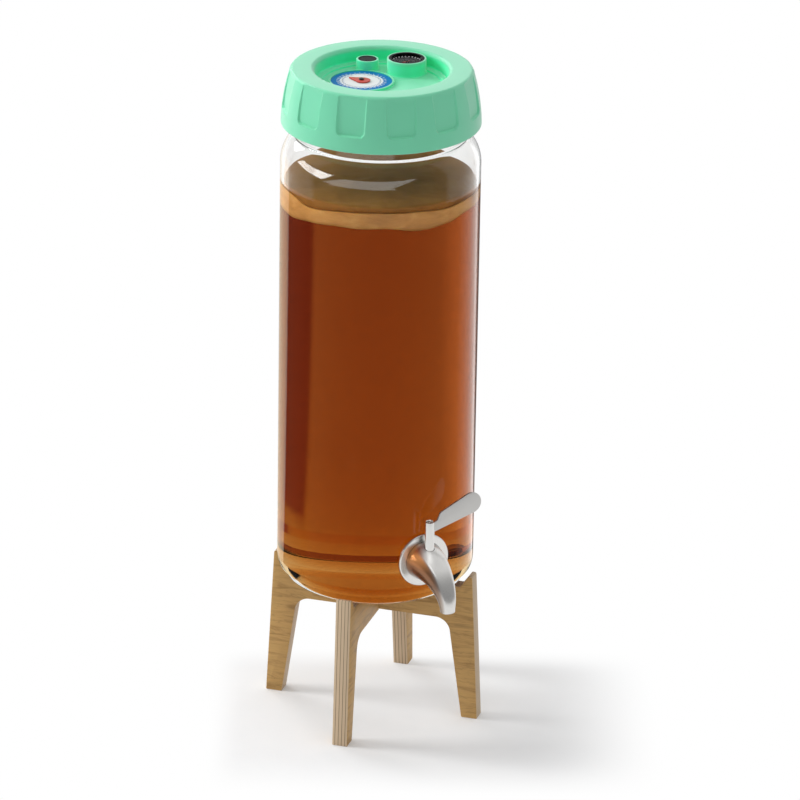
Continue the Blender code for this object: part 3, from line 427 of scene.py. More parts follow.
def tea_liquid(colour):
    """Clear tea that takes up light on its way; the jar's outer wall bends it for both."""
    paint = Finish("tea")
    strands = paint.noise(paint.place(scale=(1.0, 1.0, 0.3)), 38.0, 2.0, 0.5, 0.6)
    strands = paint.ramp(strands, (0.35, (1.0, 0.985, 0.97)), (0.7, (0.97, 0.93, 0.88)))
    # Painted light: the tea is tinted less towards the jar's floor, so its foot looks brighter,
    # standing in for light that comes through the base.
    height = paint.height(JAR_BASE, JAR_BASE + 340.0 * MM)
    painted_foot_light = paint.ramp(height, (0.02, WHITE), (0.13, (0.92, 0.84, 0.98)),
                        (0.28, (0.78, 0.66, 0.96)), (1.0, (0.66, 0.52, 0.92)))
    paint.set(Base_Color=paint.mix(1.0, strands, painted_foot_light, "MULTIPLY"), Roughness=0.0,
              Transmission_Weight=1.0, IOR=1.0)
    paint.let_lamps_through((0.20, 0.42, 0.65))
    depth = 40.0 * MM
    taken = [-math.log(c) / depth for c in colour]
    most = max(taken)
    absorb = paint.add("ShaderNodeVolumeAbsorption",
                       {"Density": most, "Color": [1.0 - t / most for t in taken]})
    paint.fill(paint.output, {"Volume": absorb.outputs[0]})
    return paint.mat


def culture_skin(colour, level):
    """The culture: a damp brown skin, tan on its crown, mottled through."""
    paint = Finish("culture")
    place = paint.place()
    top = paint.span(paint.parts(place)[2], level - 1.1 * MM, level - 0.6 * MM)
    mottle = paint.noise(place, 42.0, 5.0, 0.6, 0.4)
    side = paint.ramp(mottle, (0.30, tinted(colour, 0.72)), (0.62, colour))
    crown = paint.ramp(mottle, (0.30, (0.24, 0.110, 0.022)), (0.68, (0.34, 0.160, 0.036)))
    # The crown darkens towards its middle.
    middle = paint.span(paint.from_axis(), 30.0 * MM, 72.0 * MM, 0.62, 0.0)
    crown = paint.mix(middle, crown, (0.10, 0.055, 0.012))
    paint.set(Base_Color=paint.mix(top, side, crown), Roughness=0.45,
              Specular_IOR_Level=0.02)
    paint.soften(0.2, (1.0, 0.5, 0.2), 3.0 * MM)
    paint.bump(paint.noise(place, 190.0, 4.0), 0.35, 0.6 * MM)
    return paint.mat


def pale_layer():
    """The young pale layer under the culture, soft and cloudy."""
    paint = Finish("culture_pale")
    cloud = paint.noise(paint.place(scale=(1.0, 1.0, 2.2)), 34.0, 4.0, 0.55, 0.5)
    paint.set(Base_Color=paint.ramp(cloud, (0.30, (0.44, 0.185, 0.036)),
                                    (0.50, (0.60, 0.275, 0.060)),
                                    (0.70, (0.70, 0.36, 0.095))), Roughness=0.4)
    paint.soften(0.4, (1.0, 0.5, 0.2), 4.0 * MM)
    paint.bump(cloud, 0.3, 0.8 * MM)
    return paint.mat


def plywood(name, turn, face, edge):
    """Birch plywood: level grain on the faces, nine plies across the sawn edges."""
    paint = Finish(name)

    def board(*scale):
        return paint.place(turn, scale, AXIS)

    across = paint.parts(board(1.0, 1.0, 1.0))[1]
    grain = board(0.14, 1.0, 1.0)
    waves = paint.noise(grain, 190.0, 5.0, 0.62, 1.1)
    pores = paint.noise(board(0.05, 1.0, 1.0), 900.0, 2.0, 0.6)
    broad = paint.noise(grain, 26.0, 2.0, 0.5, 0.8)
    dark = (face[0] * 0.72, face[1] * 0.67, face[2] * 0.60)
    veneer = paint.ramp(waves, (0.33, dark), (0.46, face), (0.66, tinted(face, 1.10)))
    veneer = paint.mix(paint.times(broad, 0.25), veneer, dark, "MULTIPLY")
    rings = paint.times(paint.noise(grain, 75.0, 3.0, 0.5, 2.2), 7.0)
    rings = paint.maths("PINGPONG", rings, 0.5)
    lines = paint.times(paint.ramp(rings, (0.02, 0.55), (0.09, 0.0)),
                        paint.ramp(broad, (0.35, 0.2), (0.60, 1.0)))
    veneer = paint.mix(lines, veneer, tinted(face, 0.45))
    veneer = paint.mix(paint.ramp(pores, (0.30, 0.45), (0.42, 0.0)), veneer, dark)
    plies = paint.scaled(across, 4.5 / (13.0 * MM), 0.5)
    plies = paint.scaled(paint.noise(grain, 55.0, 1.0), 0.10, plies)
    layer = paint.maths("PINGPONG", plies, 0.5)
    glue = paint.ramp(layer, (0.05, 1.0), (0.17, 0.0))
    band = paint.ramp(layer, (0.20, 0.0), (0.30, 1.0))
    fibre = paint.noise(board(1.0, 6.0, 0.12), 420.0, 3.0, 0.6)
    sawn = paint.mix(fibre, tinted(edge, 0.82), edge)
    sawn = paint.mix(paint.times(band, 0.30), sawn, tinted(edge, 0.62))
    sawn = paint.mix(paint.times(glue, 0.80), sawn, (0.13, 0.075, 0.045))
    normal = paint.add("ShaderNodeNewGeometry").outputs["True Normal"]
    flat = paint.maths("ABSOLUTE", paint.facing(normal, (-math.sin(turn), math.cos(turn), 0.0)))
    paint.set(Base_Color=paint.mix(paint.maths("GREATER_THAN", flat, 0.75), sawn, veneer),
              Roughness=paint.scaled(waves, 0.18, 0.42), Specular_IOR_Level=0.35)
    paint.bump(waves, 0.12, 0.25 * MM)
    return paint.mat


def steel(name, colour, roughness, streak=0.10, level_marks=False, warm=False):
    """Stainless steel with polishing marks that run one way; warm adds a painted reflection of
    the tea.
    """
    paint = Finish(name)
    stretch = (0.06, 1.0, 1.0) if level_marks else (1.0, 1.0, 0.06)
    marks = paint.noise(paint.place(scale=stretch, origin=AXIS), 1500.0, 3.0, 0.6)
    cloud = paint.noise(paint.place(origin=AXIS), 70.0, 2.0)
    base = paint.mix(cloud, tinted(colour, 0.93), colour)
    if warm:
        base = tea_side(paint, base)
    paint.set(Base_Color=base, Metallic=1.0, Roughness=paint.scaled(marks, streak, roughness))
    paint.bump(marks, 0.06, 0.03 * MM)
    return paint.mat


def tea_side(paint, plain):
    """Painted reflection: the tea's orange-brown painted down the spout's side that faces along
    the jar, brightening to a painted orange highlight near the flange.
    """
    normal = paint.add("ShaderNodeNewGeometry").outputs["Normal"]
    aside = paint.span(paint.facing(normal, view_direction(-85.0, 12.0)), 0.30, 0.72,
                       smooth=True)
    painted_tea_reflection = paint.ramp(paint.height(TAP_AXIS - 24.0 * MM, TAP_AXIS + 9.0 * MM),
                       (0.0, (0.42, 0.36, 0.31)), (0.45, (0.24, 0.145, 0.10)),
                       (0.75, (0.34, 0.16, 0.08)), (1.0, (1.0, 0.42, 0.15)))
    return paint.mix(aside, plain, painted_tea_reflection)


def plain_finish(name, colour, roughness, scale=300.0, spread=0.12, specular=0.5):
    """A moulded or printed finish with slight mottling and a fine grain."""
    paint = Finish(name)
    grain = paint.noise(paint.place(), scale, 3.0)
    paint.set(Base_Color=paint.mix(grain, tinted(colour, 1.0 - spread), colour),
              Roughness=paint.scaled(grain, 0.12, roughness), Specular_IOR_Level=specular)
    paint.bump(grain, 0.05, 0.05 * MM)
    return paint.mat


def silicone():
    """Slightly cloudy silicone."""
    paint = Finish("silicone")
    cloud = paint.noise(paint.place(), 160.0, 2.0)
    paint.set(Base_Color=paint.mix(cloud, (0.62, 0.62, 0.60), (0.78, 0.78, 0.76)),
              Roughness=0.42)
    paint.soften(0.3, WHITE, 1.5 * MM)
    return paint.mat


def dial_card(blue):
    """The date disc: a blue ring round a white field, faint print mottle."""
    paint = Finish("dial_card")
    radius = paint.from_axis(DATE_CENTRE)
    grain = paint.noise(paint.place(origin=(DATE_CENTRE.x, DATE_CENTRE.y, 0.0)), 900.0, 2.0)
    white = paint.mix(grain, (0.80, 0.81, 0.82), (0.86, 0.87, 0.88))
    ring = paint.mix(grain, tinted(blue, 0.9), blue)
    face = paint.mix(paint.maths("GREATER_THAN", radius, 18.0 * MM), white, ring)
    hair = paint.maths("COMPARE", radius, 15.8 * MM, 0.20 * MM)
    paint.set(Base_Color=paint.mix(hair, face, (0.16, 0.19, 0.24)),
              Roughness=paint.scaled(grain, 0.1, 0.45), Specular_IOR_Level=0.12)
    return paint.mat


def porous_filter():
    """Open black foam."""
    paint = Finish("filter_black")
    cells = paint.add("ShaderNodeTexVoronoi",
                      {"Vector": paint.place(), "Scale": 1100.0}).outputs[0]
    paint.set(Base_Color=paint.ramp(cells, (0.2, (0.006, 0.007, 0.007)),
                                    (0.7, (0.032, 0.036, 0.034))), Roughness=0.9)
    paint.bump(cells, 0.9, 0.4 * MM)
    return paint.mat


def lens_clear():
    """The thermometer's clear window."""
    paint = Finish("lens_plastic")
    haze = paint.times(paint.noise(paint.place(), 400.0, 2.0), 0.002)
    paint.set(Base_Color=(0.99, 0.99, 0.99), Transmission_Weight=1.0, IOR=1.08,
              Roughness=haze)
    paint.let_lamps_through((0.97, 0.97, 0.97))
    return paint.mat


# Mesh helpers

def add_object(name, data):
    """Put an object of some data in the scene."""
    obj = bpy.data.objects.new(name, data)
    bpy.context.scene.collection.objects.link(obj)
    return obj


def evaluated_mesh(obj):
    """A plain mesh of an object, its modifiers applied."""
    bpy.context.view_layer.update()
    depsgraph = bpy.context.evaluated_depsgraph_get()
    return bpy.data.meshes.new_from_object(obj.evaluated_get(depsgraph))


def mesh_from(name, work):
    """A mesh of what was made in a bmesh."""
    mesh = bpy.data.meshes.new(name)
    work.to_mesh(mesh)
    work.free()
    return mesh


def shade(mesh, sharp):
    """Shade a mesh smoothly between edges sharper than an angle in degrees."""
    mesh.shade_smooth()
    mesh.set_sharp_from_angle(angle=math.radians(sharp))


def finish_mesh(name, mesh, mat, sharp=35.0):
    """Make an object of a mesh, faces out; sharp is None for flat shading."""
    work = bmesh.new()
    work.from_mesh(mesh)
    bmesh.ops.remove_doubles(work, verts=work.verts, dist=0.5e-6)
    bmesh.ops.recalc_face_normals(work, faces=work.faces)
    work.to_mesh(mesh)
    work.free()
    if sharp is not None:
        shade(mesh, sharp)
    obj = add_object(name, mesh)
    mesh.materials.clear()
    mesh.materials.append(mat)
    return obj


def mesh_of(name, verts, faces):
    """A mesh from points and faces."""
    mesh = bpy.data.meshes.new(name)
    mesh.from_pydata([tuple(v) for v in verts], [], faces)
    return mesh


def skin_rows(rows, closed=False):
    """Faces between rows of vertex numbers; a row may repeat one point."""
    faces = []
    for low, high in zip(rows, rows[1:] + (rows[:1] if closed else [])):
        for k in range(len(low)):
            m = (k + 1) % len(low)
            face = list(dict.fromkeys((low[k], low[m], high[m], high[k])))
            if len(face) > 2:
                faces.append(face)
    return faces


def around_circle(steps):
    """Even angles round a circle."""
    return [CIRCLE * k / steps for k in range(steps)]


def arc(centre, radius, start, end, steps):
    """Points on an arc, in degrees from the first axis."""
    points = []
    for i in range(steps + 1):
        angle = math.radians(start + (end - start) * i / steps)
        points.append((centre[0] + radius * math.cos(angle),
                       centre[1] + radius * math.sin(angle)))
    return points


def rounded(points, radii, steps=6, closed=False):
    """Round the corners of a line of points; a radius of zero keeps a corner."""
    made = []
    count = len(points)
    for i, (point, radius) in enumerate(zip(points, radii)):
        inner = closed or 0 < i < count - 1
        if radius <= 0.0 or not inner:
            made.append(tuple(point))
            continue
        corner = Vector(point)
        back = Vector(points[i - 1]) - corner
        ahead = Vector(points[(i + 1) % count]) - corner
        half = back.angle(ahead) / 2
        reach = min(radius / math.tan(half), back.length * 0.49, ahead.length * 0.49)
        radius = reach * math.tan(half)
        middle = (back.normalized() + ahead.normalized()).normalized()
        centre = corner + middle * (radius / math.sin(half))
        first = corner + back.normalized() * reach - centre
        last = corner + ahead.normalized() * reach - centre
        turn = first.angle_signed(last)
        for k in range(steps + 1):
            spoke = first.copy()
            spoke.rotate(Matrix.Rotation(-turn * k / steps, 2))
            made.append(tuple(centre + spoke))
    return made


def in_mm(points):
    """Points given in millimetres, in metres."""
    return [(x * MM, y * MM) for x, y in points]


def lathe(name, profile, angles, mat, centre=AXIS, sharp=35.0, matrix=None, reshape=None):
    """Turn a (radius, height) profile about an upright axis, at given angles.

    Angles may be a number of even steps.  A profile that starts on the axis ends on
    it; any other is a closed ring.  reshape takes radius, height, angle and profile
    index, and gives a new radius.
    """
    if isinstance(angles, int):
        angles = around_circle(angles)
    verts, rows = [], []
    for i, (radius, height) in enumerate(profile):
        if radius <= 1e-7:
            rows.append([len(verts)] * len(angles))
            verts.append((centre[0], centre[1], height))
            continue
        rows.append(list(range(len(verts), len(verts) + len(angles))))
        for angle in angles:
            r = reshape(radius, height, angle, i) if reshape else radius
            verts.append((centre[0] + r * math.cos(angle),
                          centre[1] + r * math.sin(angle), height))
    mesh = mesh_of(name, verts, skin_rows(rows, profile[0][0] > 1e-7))
    if matrix is not None:
        mesh.transform(matrix)
    return finish_mesh(name, mesh, mat, sharp)


def rod(name, radius, start, end, steps, mat, centre):
    """A round bar about an upright axis, from one height to another."""
    return lathe(name, [(0.0, start), (radius, start), (radius, end), (0.0, end)], steps,
                 mat, centre)


def plate(name, outline, thickness, mat, matrix, bevel=0.0, segments=2):
    """A flat plate in the XY plane, its edges rounded, then moved by a matrix."""
    work = bmesh.new()
    base = [work.verts.new((x, y, -thickness / 2)) for x, y in outline]
    face = work.faces.new(base)
    made = bmesh.ops.extrude_face_region(work, geom=[face])
    top = [v for v in made["geom"] if isinstance(v, bmesh.types.BMVert)]
    bmesh.ops.translate(work, vec=(0.0, 0.0, thickness), verts=top)
    bmesh.ops.recalc_face_normals(work, faces=work.faces)
    if bevel > 0.0:
        rim = [e for e in work.edges if e.calc_face_angle(0.0) > math.radians(50.0)]
        bmesh.ops.bevel(work, geom=rim, offset=bevel, segments=segments, profile=0.5,
                        affect="EDGES", clamp_overlap=True)
    mesh = mesh_from(name, work)
    mesh.transform(matrix)
    return finish_mesh(name, mesh, mat, 40.0)


def sweep(name, sections, mat, sharp=40.0):
    """A capped skin over rings of points, one ring at each place along a line."""
    count = len(sections[0])
    rows = [list(range(i * count, (i + 1) * count)) for i in range(len(sections))]
    faces = skin_rows(rows) + [rows[0], rows[-1]]
    return finish_mesh(name, mesh_of(name, sum(sections, []), faces), mat, sharp)


def combine(obj, other, operation):
    """Join a closed mesh with another or cut it by the other, and drop the other."""
    modifier = obj.modifiers.new("Combine", "BOOLEAN")
    modifier.operation = operation
    modifier.solver = "EXACT"
    modifier.object = other
    mesh = evaluated_mesh(obj)
    obj.modifiers.clear()
    obj.data = mesh
    bpy.data.objects.remove(other, do_unlink=True)


def cut(obj, cutter):
    """Cut one mesh by another."""
    combine(obj, cutter, "DIFFERENCE")


def settle(obj, body, slot, *nodes):
    """Ride a piece on its body and hide the imported solids that it stands for."""
    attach(obj, body)
    for node in nodes:
        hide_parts(node)
    return obj


def dress(node, mat):
    """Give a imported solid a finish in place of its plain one."""
    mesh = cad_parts[node].data
    mesh.materials.clear()
    mesh.materials.append(mat)


def smoothstep(low, high, value):
    """Zero below low, one above high and smooth between them."""
    share = min(1.0, max(0.0, (value - low) / (high - low)))
    return share * share * (3.0 - 2.0 * share)


# Geometry Nodes

def new_tree(name, inputs):
    """A geometry tree with named number inputs; a whole default makes a whole input."""
    tree = bpy.data.node_groups.new(name, "GeometryNodeTree")
    tree.interface.new_socket("Geometry", in_out="OUTPUT", socket_type="NodeSocketGeometry")
    for label, default in inputs.items():
        kind = "NodeSocketInt" if isinstance(default, int) else "NodeSocketFloat"
        socket = tree.interface.new_socket(label, in_out="INPUT", socket_type=kind)
        socket.default_value = default
    start = tree.nodes.new("NodeGroupInput")
    return Nodes(tree), start.outputs


def end_tree(nodes, geometry, mat):
    """Close a tree with Realize Instances and Set Material."""
    real = nodes.add("GeometryNodeRealizeInstances", {0: geometry})
    painted = nodes.add("GeometryNodeSetMaterial",
                        {"Geometry": real.outputs[0], "Material": mat})
    nodes.add("NodeGroupOutput", {0: painted.outputs[0]})
    return nodes.tree


def grow(name, tree, values, mat, place):
    """Run a geometry tree on an empty mesh and keep its result as a plain mesh."""
    host = add_object(name + "_host", bpy.data.meshes.new(name + "_host"))
    modifier = host.modifiers.new("Grow", "NODES")
    modifier.node_group = tree
    for item in tree.interface.items_tree:
        if item.item_type == "SOCKET" and item.in_out == "INPUT" and item.name in values:
            modifier[item.identifier] = values[item.name]
    mesh = evaluated_mesh(host)
    bpy.data.objects.remove(host, do_unlink=True)
    mesh.transform(Matrix.Translation(place))
    return finish_mesh(name, mesh, mat)


def tick_tree(name, mat):
    """Short upright blocks spread round part of a circle, pointing to its centre."""
    nodes, start = new_tree(name, {
        "Count": 31, "Radius": 15.0 * MM, "Length": 1.0 * MM, "Width": 0.3 * MM,
        "Height": 0.1 * MM, "Start": 0.0, "Sweep": CIRCLE})
    size = nodes.add("ShaderNodeCombineXYZ",
                     {0: start["Length"], 1: start["Width"], 2: start["Height"]})
    block = nodes.add("GeometryNodeMeshCube", {"Size": size.outputs[0]})
    points = nodes.add("GeometryNodeMeshLine", {"Count": start["Count"]})
    index = nodes.add("GeometryNodeInputIndex").outputs[0]
    share = nodes.maths("DIVIDE", index, start["Count"])
    angle = nodes.scaled(share, start["Sweep"], start["Start"])
    spot = nodes.add("ShaderNodeCombineXYZ", {0: nodes.maths("COSINE", angle),
                                              1: nodes.maths("SINE", angle)})
    out = nodes.add("ShaderNodeVectorMath",
                    {0: spot.outputs[0], "Scale": start["Radius"]}, operation="SCALE")
    placed = nodes.add("GeometryNodeSetPosition",
                       {"Geometry": points.outputs[0], "Position": out.outputs[0]})
    turn = nodes.add("ShaderNodeCombineXYZ", {2: angle})
    copies = nodes.add("GeometryNodeInstanceOnPoints",
                       {"Points": placed.outputs[0], "Instance": block.outputs[0],
                        "Rotation": turn.outputs[0]})
    return end_tree(nodes, copies.outputs[0], mat)


def thread_tree(name, mat):
    """A ridge wound along a helix."""
    nodes, start = new_tree(name, {
        "Radius": 68.0 * MM, "Turns": 1.5, "Rise": 9.0 * MM, "Thickness": 1.4 * MM})
    helix = nodes.add("GeometryNodeCurveSpiral",
                      {"Resolution": 160, "Rotations": start["Turns"],
                       "Start Radius": start["Radius"], "End Radius": start["Radius"],
                       "Height": start["Rise"]})
    section = nodes.add("GeometryNodeCurvePrimitiveCircle",
                        {"Resolution": 12, "Radius": start["Thickness"]})
    ridge = nodes.add("GeometryNodeCurveToMesh",
                      {"Curve": helix.outputs[0], "Profile Curve": section.outputs[0],
                       "Fill Caps": True})
    return end_tree(nodes, ridge.outputs[0], mat)


def make_thread(name, body, slot, mat, low, pitch, radius, turns, thickness):
    """A screw thread about the jar's axis, starting at a height."""
    values = {"Radius": radius, "Turns": turns, "Rise": pitch * turns,
              "Thickness": thickness}
    ridge = grow(name, thread_tree(name, mat), values, mat, (AXIS.x, AXIS.y, low))
    settle(ridge, body, slot)


def make_marks(name, centre, level, slot, mat, **values):
    """Marks round a dial on the lid."""
    marks = grow(name, tick_tree(name, mat), values, mat, (centre.x, centre.y, level))
    settle(marks, "lid", slot)


# Stage

def view_direction(azimuth, elevation):
    """A direction given in degrees right of the camera and above the floor."""
    a = VIEW_TURN + math.radians(azimuth)
    e = math.radians(elevation)
    return Vector((math.sin(a) * math.cos(e), -math.cos(a) * math.cos(e), math.sin(e)))


def make_camera(scene):
    """The camera, aimed at the jar and then panned, tilted and rolled to fit."""
    elevation = math.radians(VIEW_ELEVATION)
    away = Vector((0.0, -math.cos(elevation), math.sin(elevation)))
    right = Vector((1.0, 0.0, 0.0))
    ahead = -away
    up = right.cross(ahead)
    place = Vector((0.0, 0.0, VIEW_HEIGHT)) + away * VIEW_DISTANCE
    pan = Matrix.Rotation(math.radians(VIEW_PAN), 3, up)
    ahead, right = pan @ ahead, pan @ right
    tilt = Matrix.Rotation(math.radians(VIEW_TILT), 3, right)
    ahead, up = tilt @ ahead, tilt @ up
    roll = math.radians(VIEW_ROLL)
    across = right * math.cos(roll) + up * math.sin(roll)
    upward = up * math.cos(roll) - right * math.sin(roll)
    turn = Matrix.Rotation(VIEW_TURN, 3, "Z")
    matrix = Matrix((turn @ across, turn @ upward, turn @ -ahead)).transposed().to_4x4()
    matrix.translation = turn @ place + AXIS
    data = bpy.data.cameras.new("camera")
    data.sensor_width = SENSOR_WIDTH
    data.lens = FOCAL_SHARE * SENSOR_WIDTH
    data.clip_start = 0.1
    data.clip_end = 40.0
    camera = add_object("camera", data)
    camera.matrix_world = matrix
    scene.camera = camera


def add_lamp(name, azimuth, elevation, distance, size, level):
    """A soft area lamp facing the middle of the jar; level 1 lights a face fully."""
    data = bpy.data.lights.new(name, "AREA")
    data.shape = "RECTANGLE"
    data.size, data.size_y = size
    data.energy = level * math.pi * math.pi * distance * distance
    lamp = add_object(name, data)
    target = AXIS + Vector((0.0, 0.0, 0.3))
    out = view_direction(azimuth, elevation)
    lamp.location = target + out * distance
    lamp.rotation_euler = out.to_track_quat("Z", "Y").to_euler()
    return lamp


def mirror_level(nodes, vector):
    """A direction's turn about the jar, and the brightness that clear walls mirror."""
    across = nodes.facing(vector, view_direction(90.0, 0.0))
    ahead = nodes.facing(vector, view_direction(0.0, 0.0))
    turn = nodes.scaled(nodes.maths("ARCTAN2", across, ahead), 0.5 / math.pi, 0.5)
    stops = [(0.5 + degrees / 360.0, level / MIRROR_MOST) for degrees, level in MIRROR_LEVELS]
    return turn, nodes.times(nodes.ramp(turn, *stops), MIRROR_MOST)


def turned_back(nodes, path, turn):
    """1 for light that a clear wall's inner side throws back towards the front."""
    bounced = nodes.maths("GREATER_THAN", path["Glossy Depth"], 0.5)
    early = nodes.maths("LESS_THAN", path["Transmission Depth"], 2.5)
    return nodes.times(bounced, early, nodes.window(turn, *BACK_TURN))


def make_floor():
    """A wide pale floor that fades to white away from the object."""
    work = bmesh.new()
    bmesh.ops.create_grid(work, x_segments=24, y_segments=24, size=FLOOR_HALF)
    bmesh.ops.translate(work, vec=AXIS, verts=work.verts)
    mesh = mesh_from("floor", work)
    paint = Finish("floor")
    place = paint.place(origin=AXIS)
    grain = paint.noise(place, 40.0, 3.0)
    paint.set(Base_Color=paint.mix(grain, (0.865, 0.872, 0.88), (0.895, 0.902, 0.91)),
              Roughness=0.8, Specular_IOR_Level=0.2)
    view_place = paint.parts(paint.place(VIEW_TURN, origin=AXIS))
    keep = 1.0
    for axis, start, end in FLOOR_FADES:
        keep = paint.times(paint.span(view_place[axis], start, end, smooth=True), keep)
    far = paint.scaled(keep, -FLOOR_KEPT, 1.0)
    path = paint.add("ShaderNodeLightPath").outputs
    refracted = path["Is Transmission Ray"]
    seen = paint.greatest(path["Is Camera Ray"], path["Is Glossy Ray"], refracted)
    turn, mirror = mirror_level(paint, place)
    distance = paint.length(place)
    dark = paint.ramp(turn, (0.851, 0.0), (0.858, 1.0), (0.925, 1.0), (0.932, 0.0))
    dark = paint.times(dark, paint.window(distance, *DARK_REACH), refracted)
    mirror = paint.choose(paint.span(distance, 0.28, 0.36), 0.4, mirror)
    front = paint.times(paint.window(turn, *FRONT_FLOOR_TURN),
                        paint.window(distance, *FRONT_FLOOR_REACH))
    mirror = paint.scaled(front, FRONT_SCREEN, mirror)
    lit = paint.ramp(turn, (0.062, 0.0), (0.085, 0.6), (0.100, 1.0), (0.125, 1.0),
                     (0.153, 0.35), (0.20, 0.0))
    lit = paint.scaled(paint.times(lit, refracted), 0.5, 1.0)
    white = paint.add("ShaderNodeEmission",
                      {0: paint.mix(dark, WHITE, (0.60, 0.34, 0.5)), 1: lit})
    plain = paint.greatest(paint.times(far, seen), refracted)
    mixed = paint.surface(plain, paint.shader.outputs[0], white.outputs[0])
    through = paint.less(refracted, turned_back(paint, path, turn))
    mirrored = paint.less(path["Is Singular Ray"], through)
    warm = paint.mix(paint.window(turn, *WARM_TURN), WHITE, (1.0, 0.86, 0.66))
    shown = paint.add("ShaderNodeEmission", {0: warm, 1: mirror})
    paint.surface(mirrored, mixed, shown.outputs[0])
    floor = add_object("floor", mesh)
    mesh.materials.append(paint.mat)


def make_world(scene):
    """White to the camera and through glass; softer light for the object."""
    world = bpy.data.worlds.new("studio")
    world.use_nodes = True
    nodes = Nodes(world.node_tree)
    nodes.tree.nodes.clear()
    path = nodes.add("ShaderNodeLightPath").outputs
    clear = nodes.greatest(path["Is Camera Ray"], path["Is Transmission Ray"])
    direction = nodes.add("ShaderNodeTexCoord").outputs["Generated"]
    gloss = nodes.span(nodes.facing(direction, view_direction(0.0, 0.0)), -0.45, 0.35,
                       1.0, 0.34, smooth=True)
    turn, mirror = mirror_level(nodes, direction)
    up = nodes.parts(direction)[2]
    mirror = nodes.times(mirror, nodes.span(up, 0.02, 0.25, 1.0, 0.5))
    front = nodes.times(nodes.window(nodes.scaled(up, FRONT_LEAN, turn), *FRONT_TURN),
                        nodes.window(nodes.scaled(turn, FRONT_SLOPE, up), *FRONT_HEIGHT))
    mirror = nodes.scaled(front, FRONT_SCREEN, mirror)
    side = nodes.times(nodes.window(nodes.scaled(up, SIDE_LEAN, turn), *SIDE_TURN),
                       nodes.window(up, *SIDE_HEIGHT),
                       nodes.window(nodes.scaled(turn, SIDE_SLOPE, up), *SIDE_CORNER))
    mirror = nodes.scaled(side, SIDE_SCREEN, mirror)
    gloss = nodes.choose(path["Is Singular Ray"], gloss, mirror)
    level = nodes.choose(path["Is Glossy Ray"], SKY_LEVEL, gloss)
    level = nodes.choose(nodes.less(clear, turned_back(nodes, path, turn)), level, 1.0)
    back = nodes.add("ShaderNodeBackground", {0: WHITE, 1: level})
    nodes.add("ShaderNodeOutputWorld", {0: back.outputs[0]})
    scene.world = world


# Stand and jar

def frame_outline(notch_up):
    """Outline of one stand frame, its arch and tips rounded finely."""
    bar_top, bar_low, tip = 120.0, 89.5, 130.0
    arch = rounded([(80.0, 0.0), (66.9, bar_low), (0.0, bar_low)], [0.0, 13.0, 0.0], 18)
    half, middle = 6.8, 104.75
    right = [(77.0, bar_top), (84.0, tip), (87.5, tip), (94.0, 0.0), (80.0, 0.0)]
    right = rounded(right, [1.2, 1.2, 1.6, 0.8, 0.0], 5)[:-1] + arch[:-1]
    if notch_up:
        right = [(half, middle - 0.15), (half, bar_top)] + right
    else:
        right = right + [(half, bar_low), (half, middle + 0.15)]
    left = [(-x, z) for x, z in reversed(right)]
    return in_mm(right + left)


def make_stand(colours):
    """Two crossing plywood frames."""
    for node, degrees, notch_up in (("stand_frame_a", 45.0, False),
                                    ("stand_frame_b", -45.0, True)):
        turn = math.radians(degrees)
        mat = plywood("birch_" + node[-1], turn, colours.plywood, colours.ply_edge)
        stand_up = Matrix.Rotation(math.pi / 2, 4, "X")
        matrix = Matrix.Translation(AXIS) @ Matrix.Rotation(turn, 4, "Z") @ stand_up
        obj = plate("ply_" + node[6:], frame_outline(notch_up), 13.0 * MM, mat, matrix,
                    0.55 * MM)
        settle(obj, "stand", "birch_plywood", node)


def jar_profile(wall, corner, wet):
    """Inside, over the rim, down the outside and in under the base."""
    r, floor = JAR_RADIUS, 4.5 * MM
    inner = r - wall
    side = 368.5 * MM
    rim = RIM_TOP - JAR_BASE
    spread = 30.0 * MM
    neck = NECK_RADIUS
    middle = r - spread
    fillet, flare = 3.0 * MM, 3.4 * MM
    foot = neck + flare
    rise = math.sqrt((spread + fillet) ** 2 - (foot + fillet - middle) ** 2)
    turn = math.degrees(math.atan2(rise, foot + fillet - middle))
    points = [(0.0, floor + 1.5 * MM), (20.0 * MM, floor + 1.3 * MM),
              (38.0 * MM, floor + 0.6 * MM), (51.0 * MM, floor)]
    points += arc((inner - corner + wall, floor + corner - wall), corner - wall, -90, 0, 10)
    rows = [30.0 + 6.0 * k for k in range(6)] + [90.0 + 35.0 * k for k in range(7)]
    rows.append(wet / MM)
    points += [(inner, z * MM) for z in rows]
    over, bend = turn + 7.6, 2.0 * MM
    points += arc((middle, side), spread - wall, 0, over, 14)
    reach = spread - wall + bend
    centre = (middle + reach * math.cos(math.radians(over)),
              side + reach * math.sin(math.radians(over)))
    points += arc(centre, bend, 180 + over, 180, 6)[1:]
    points += [(neck - 1.5 * MM, side + 31.0 * MM), (neck - wall, side + 45.0 * MM)]
    points += arc((neck - wall / 2, rim - wall / 2), wall / 2, 180, 0, 10)
    points += [(neck, side + 38.0 * MM)]
    points += arc((foot + fillet, side + rise), fillet, 174, 180 + turn, 8)
    points += arc((middle, side), spread, turn, 0, 14)[1:]
    points += [(r, z * MM) for z in reversed(rows)]
    points += arc((r - corner, corner), corner, 0, -90, 12)
    points += in_mm([(54.0, 0.0), (38.0, 0.5), (20.0, 1.2), (0.0, 1.5)])
    return [(radius, JAR_BASE + height) for radius, height in points]


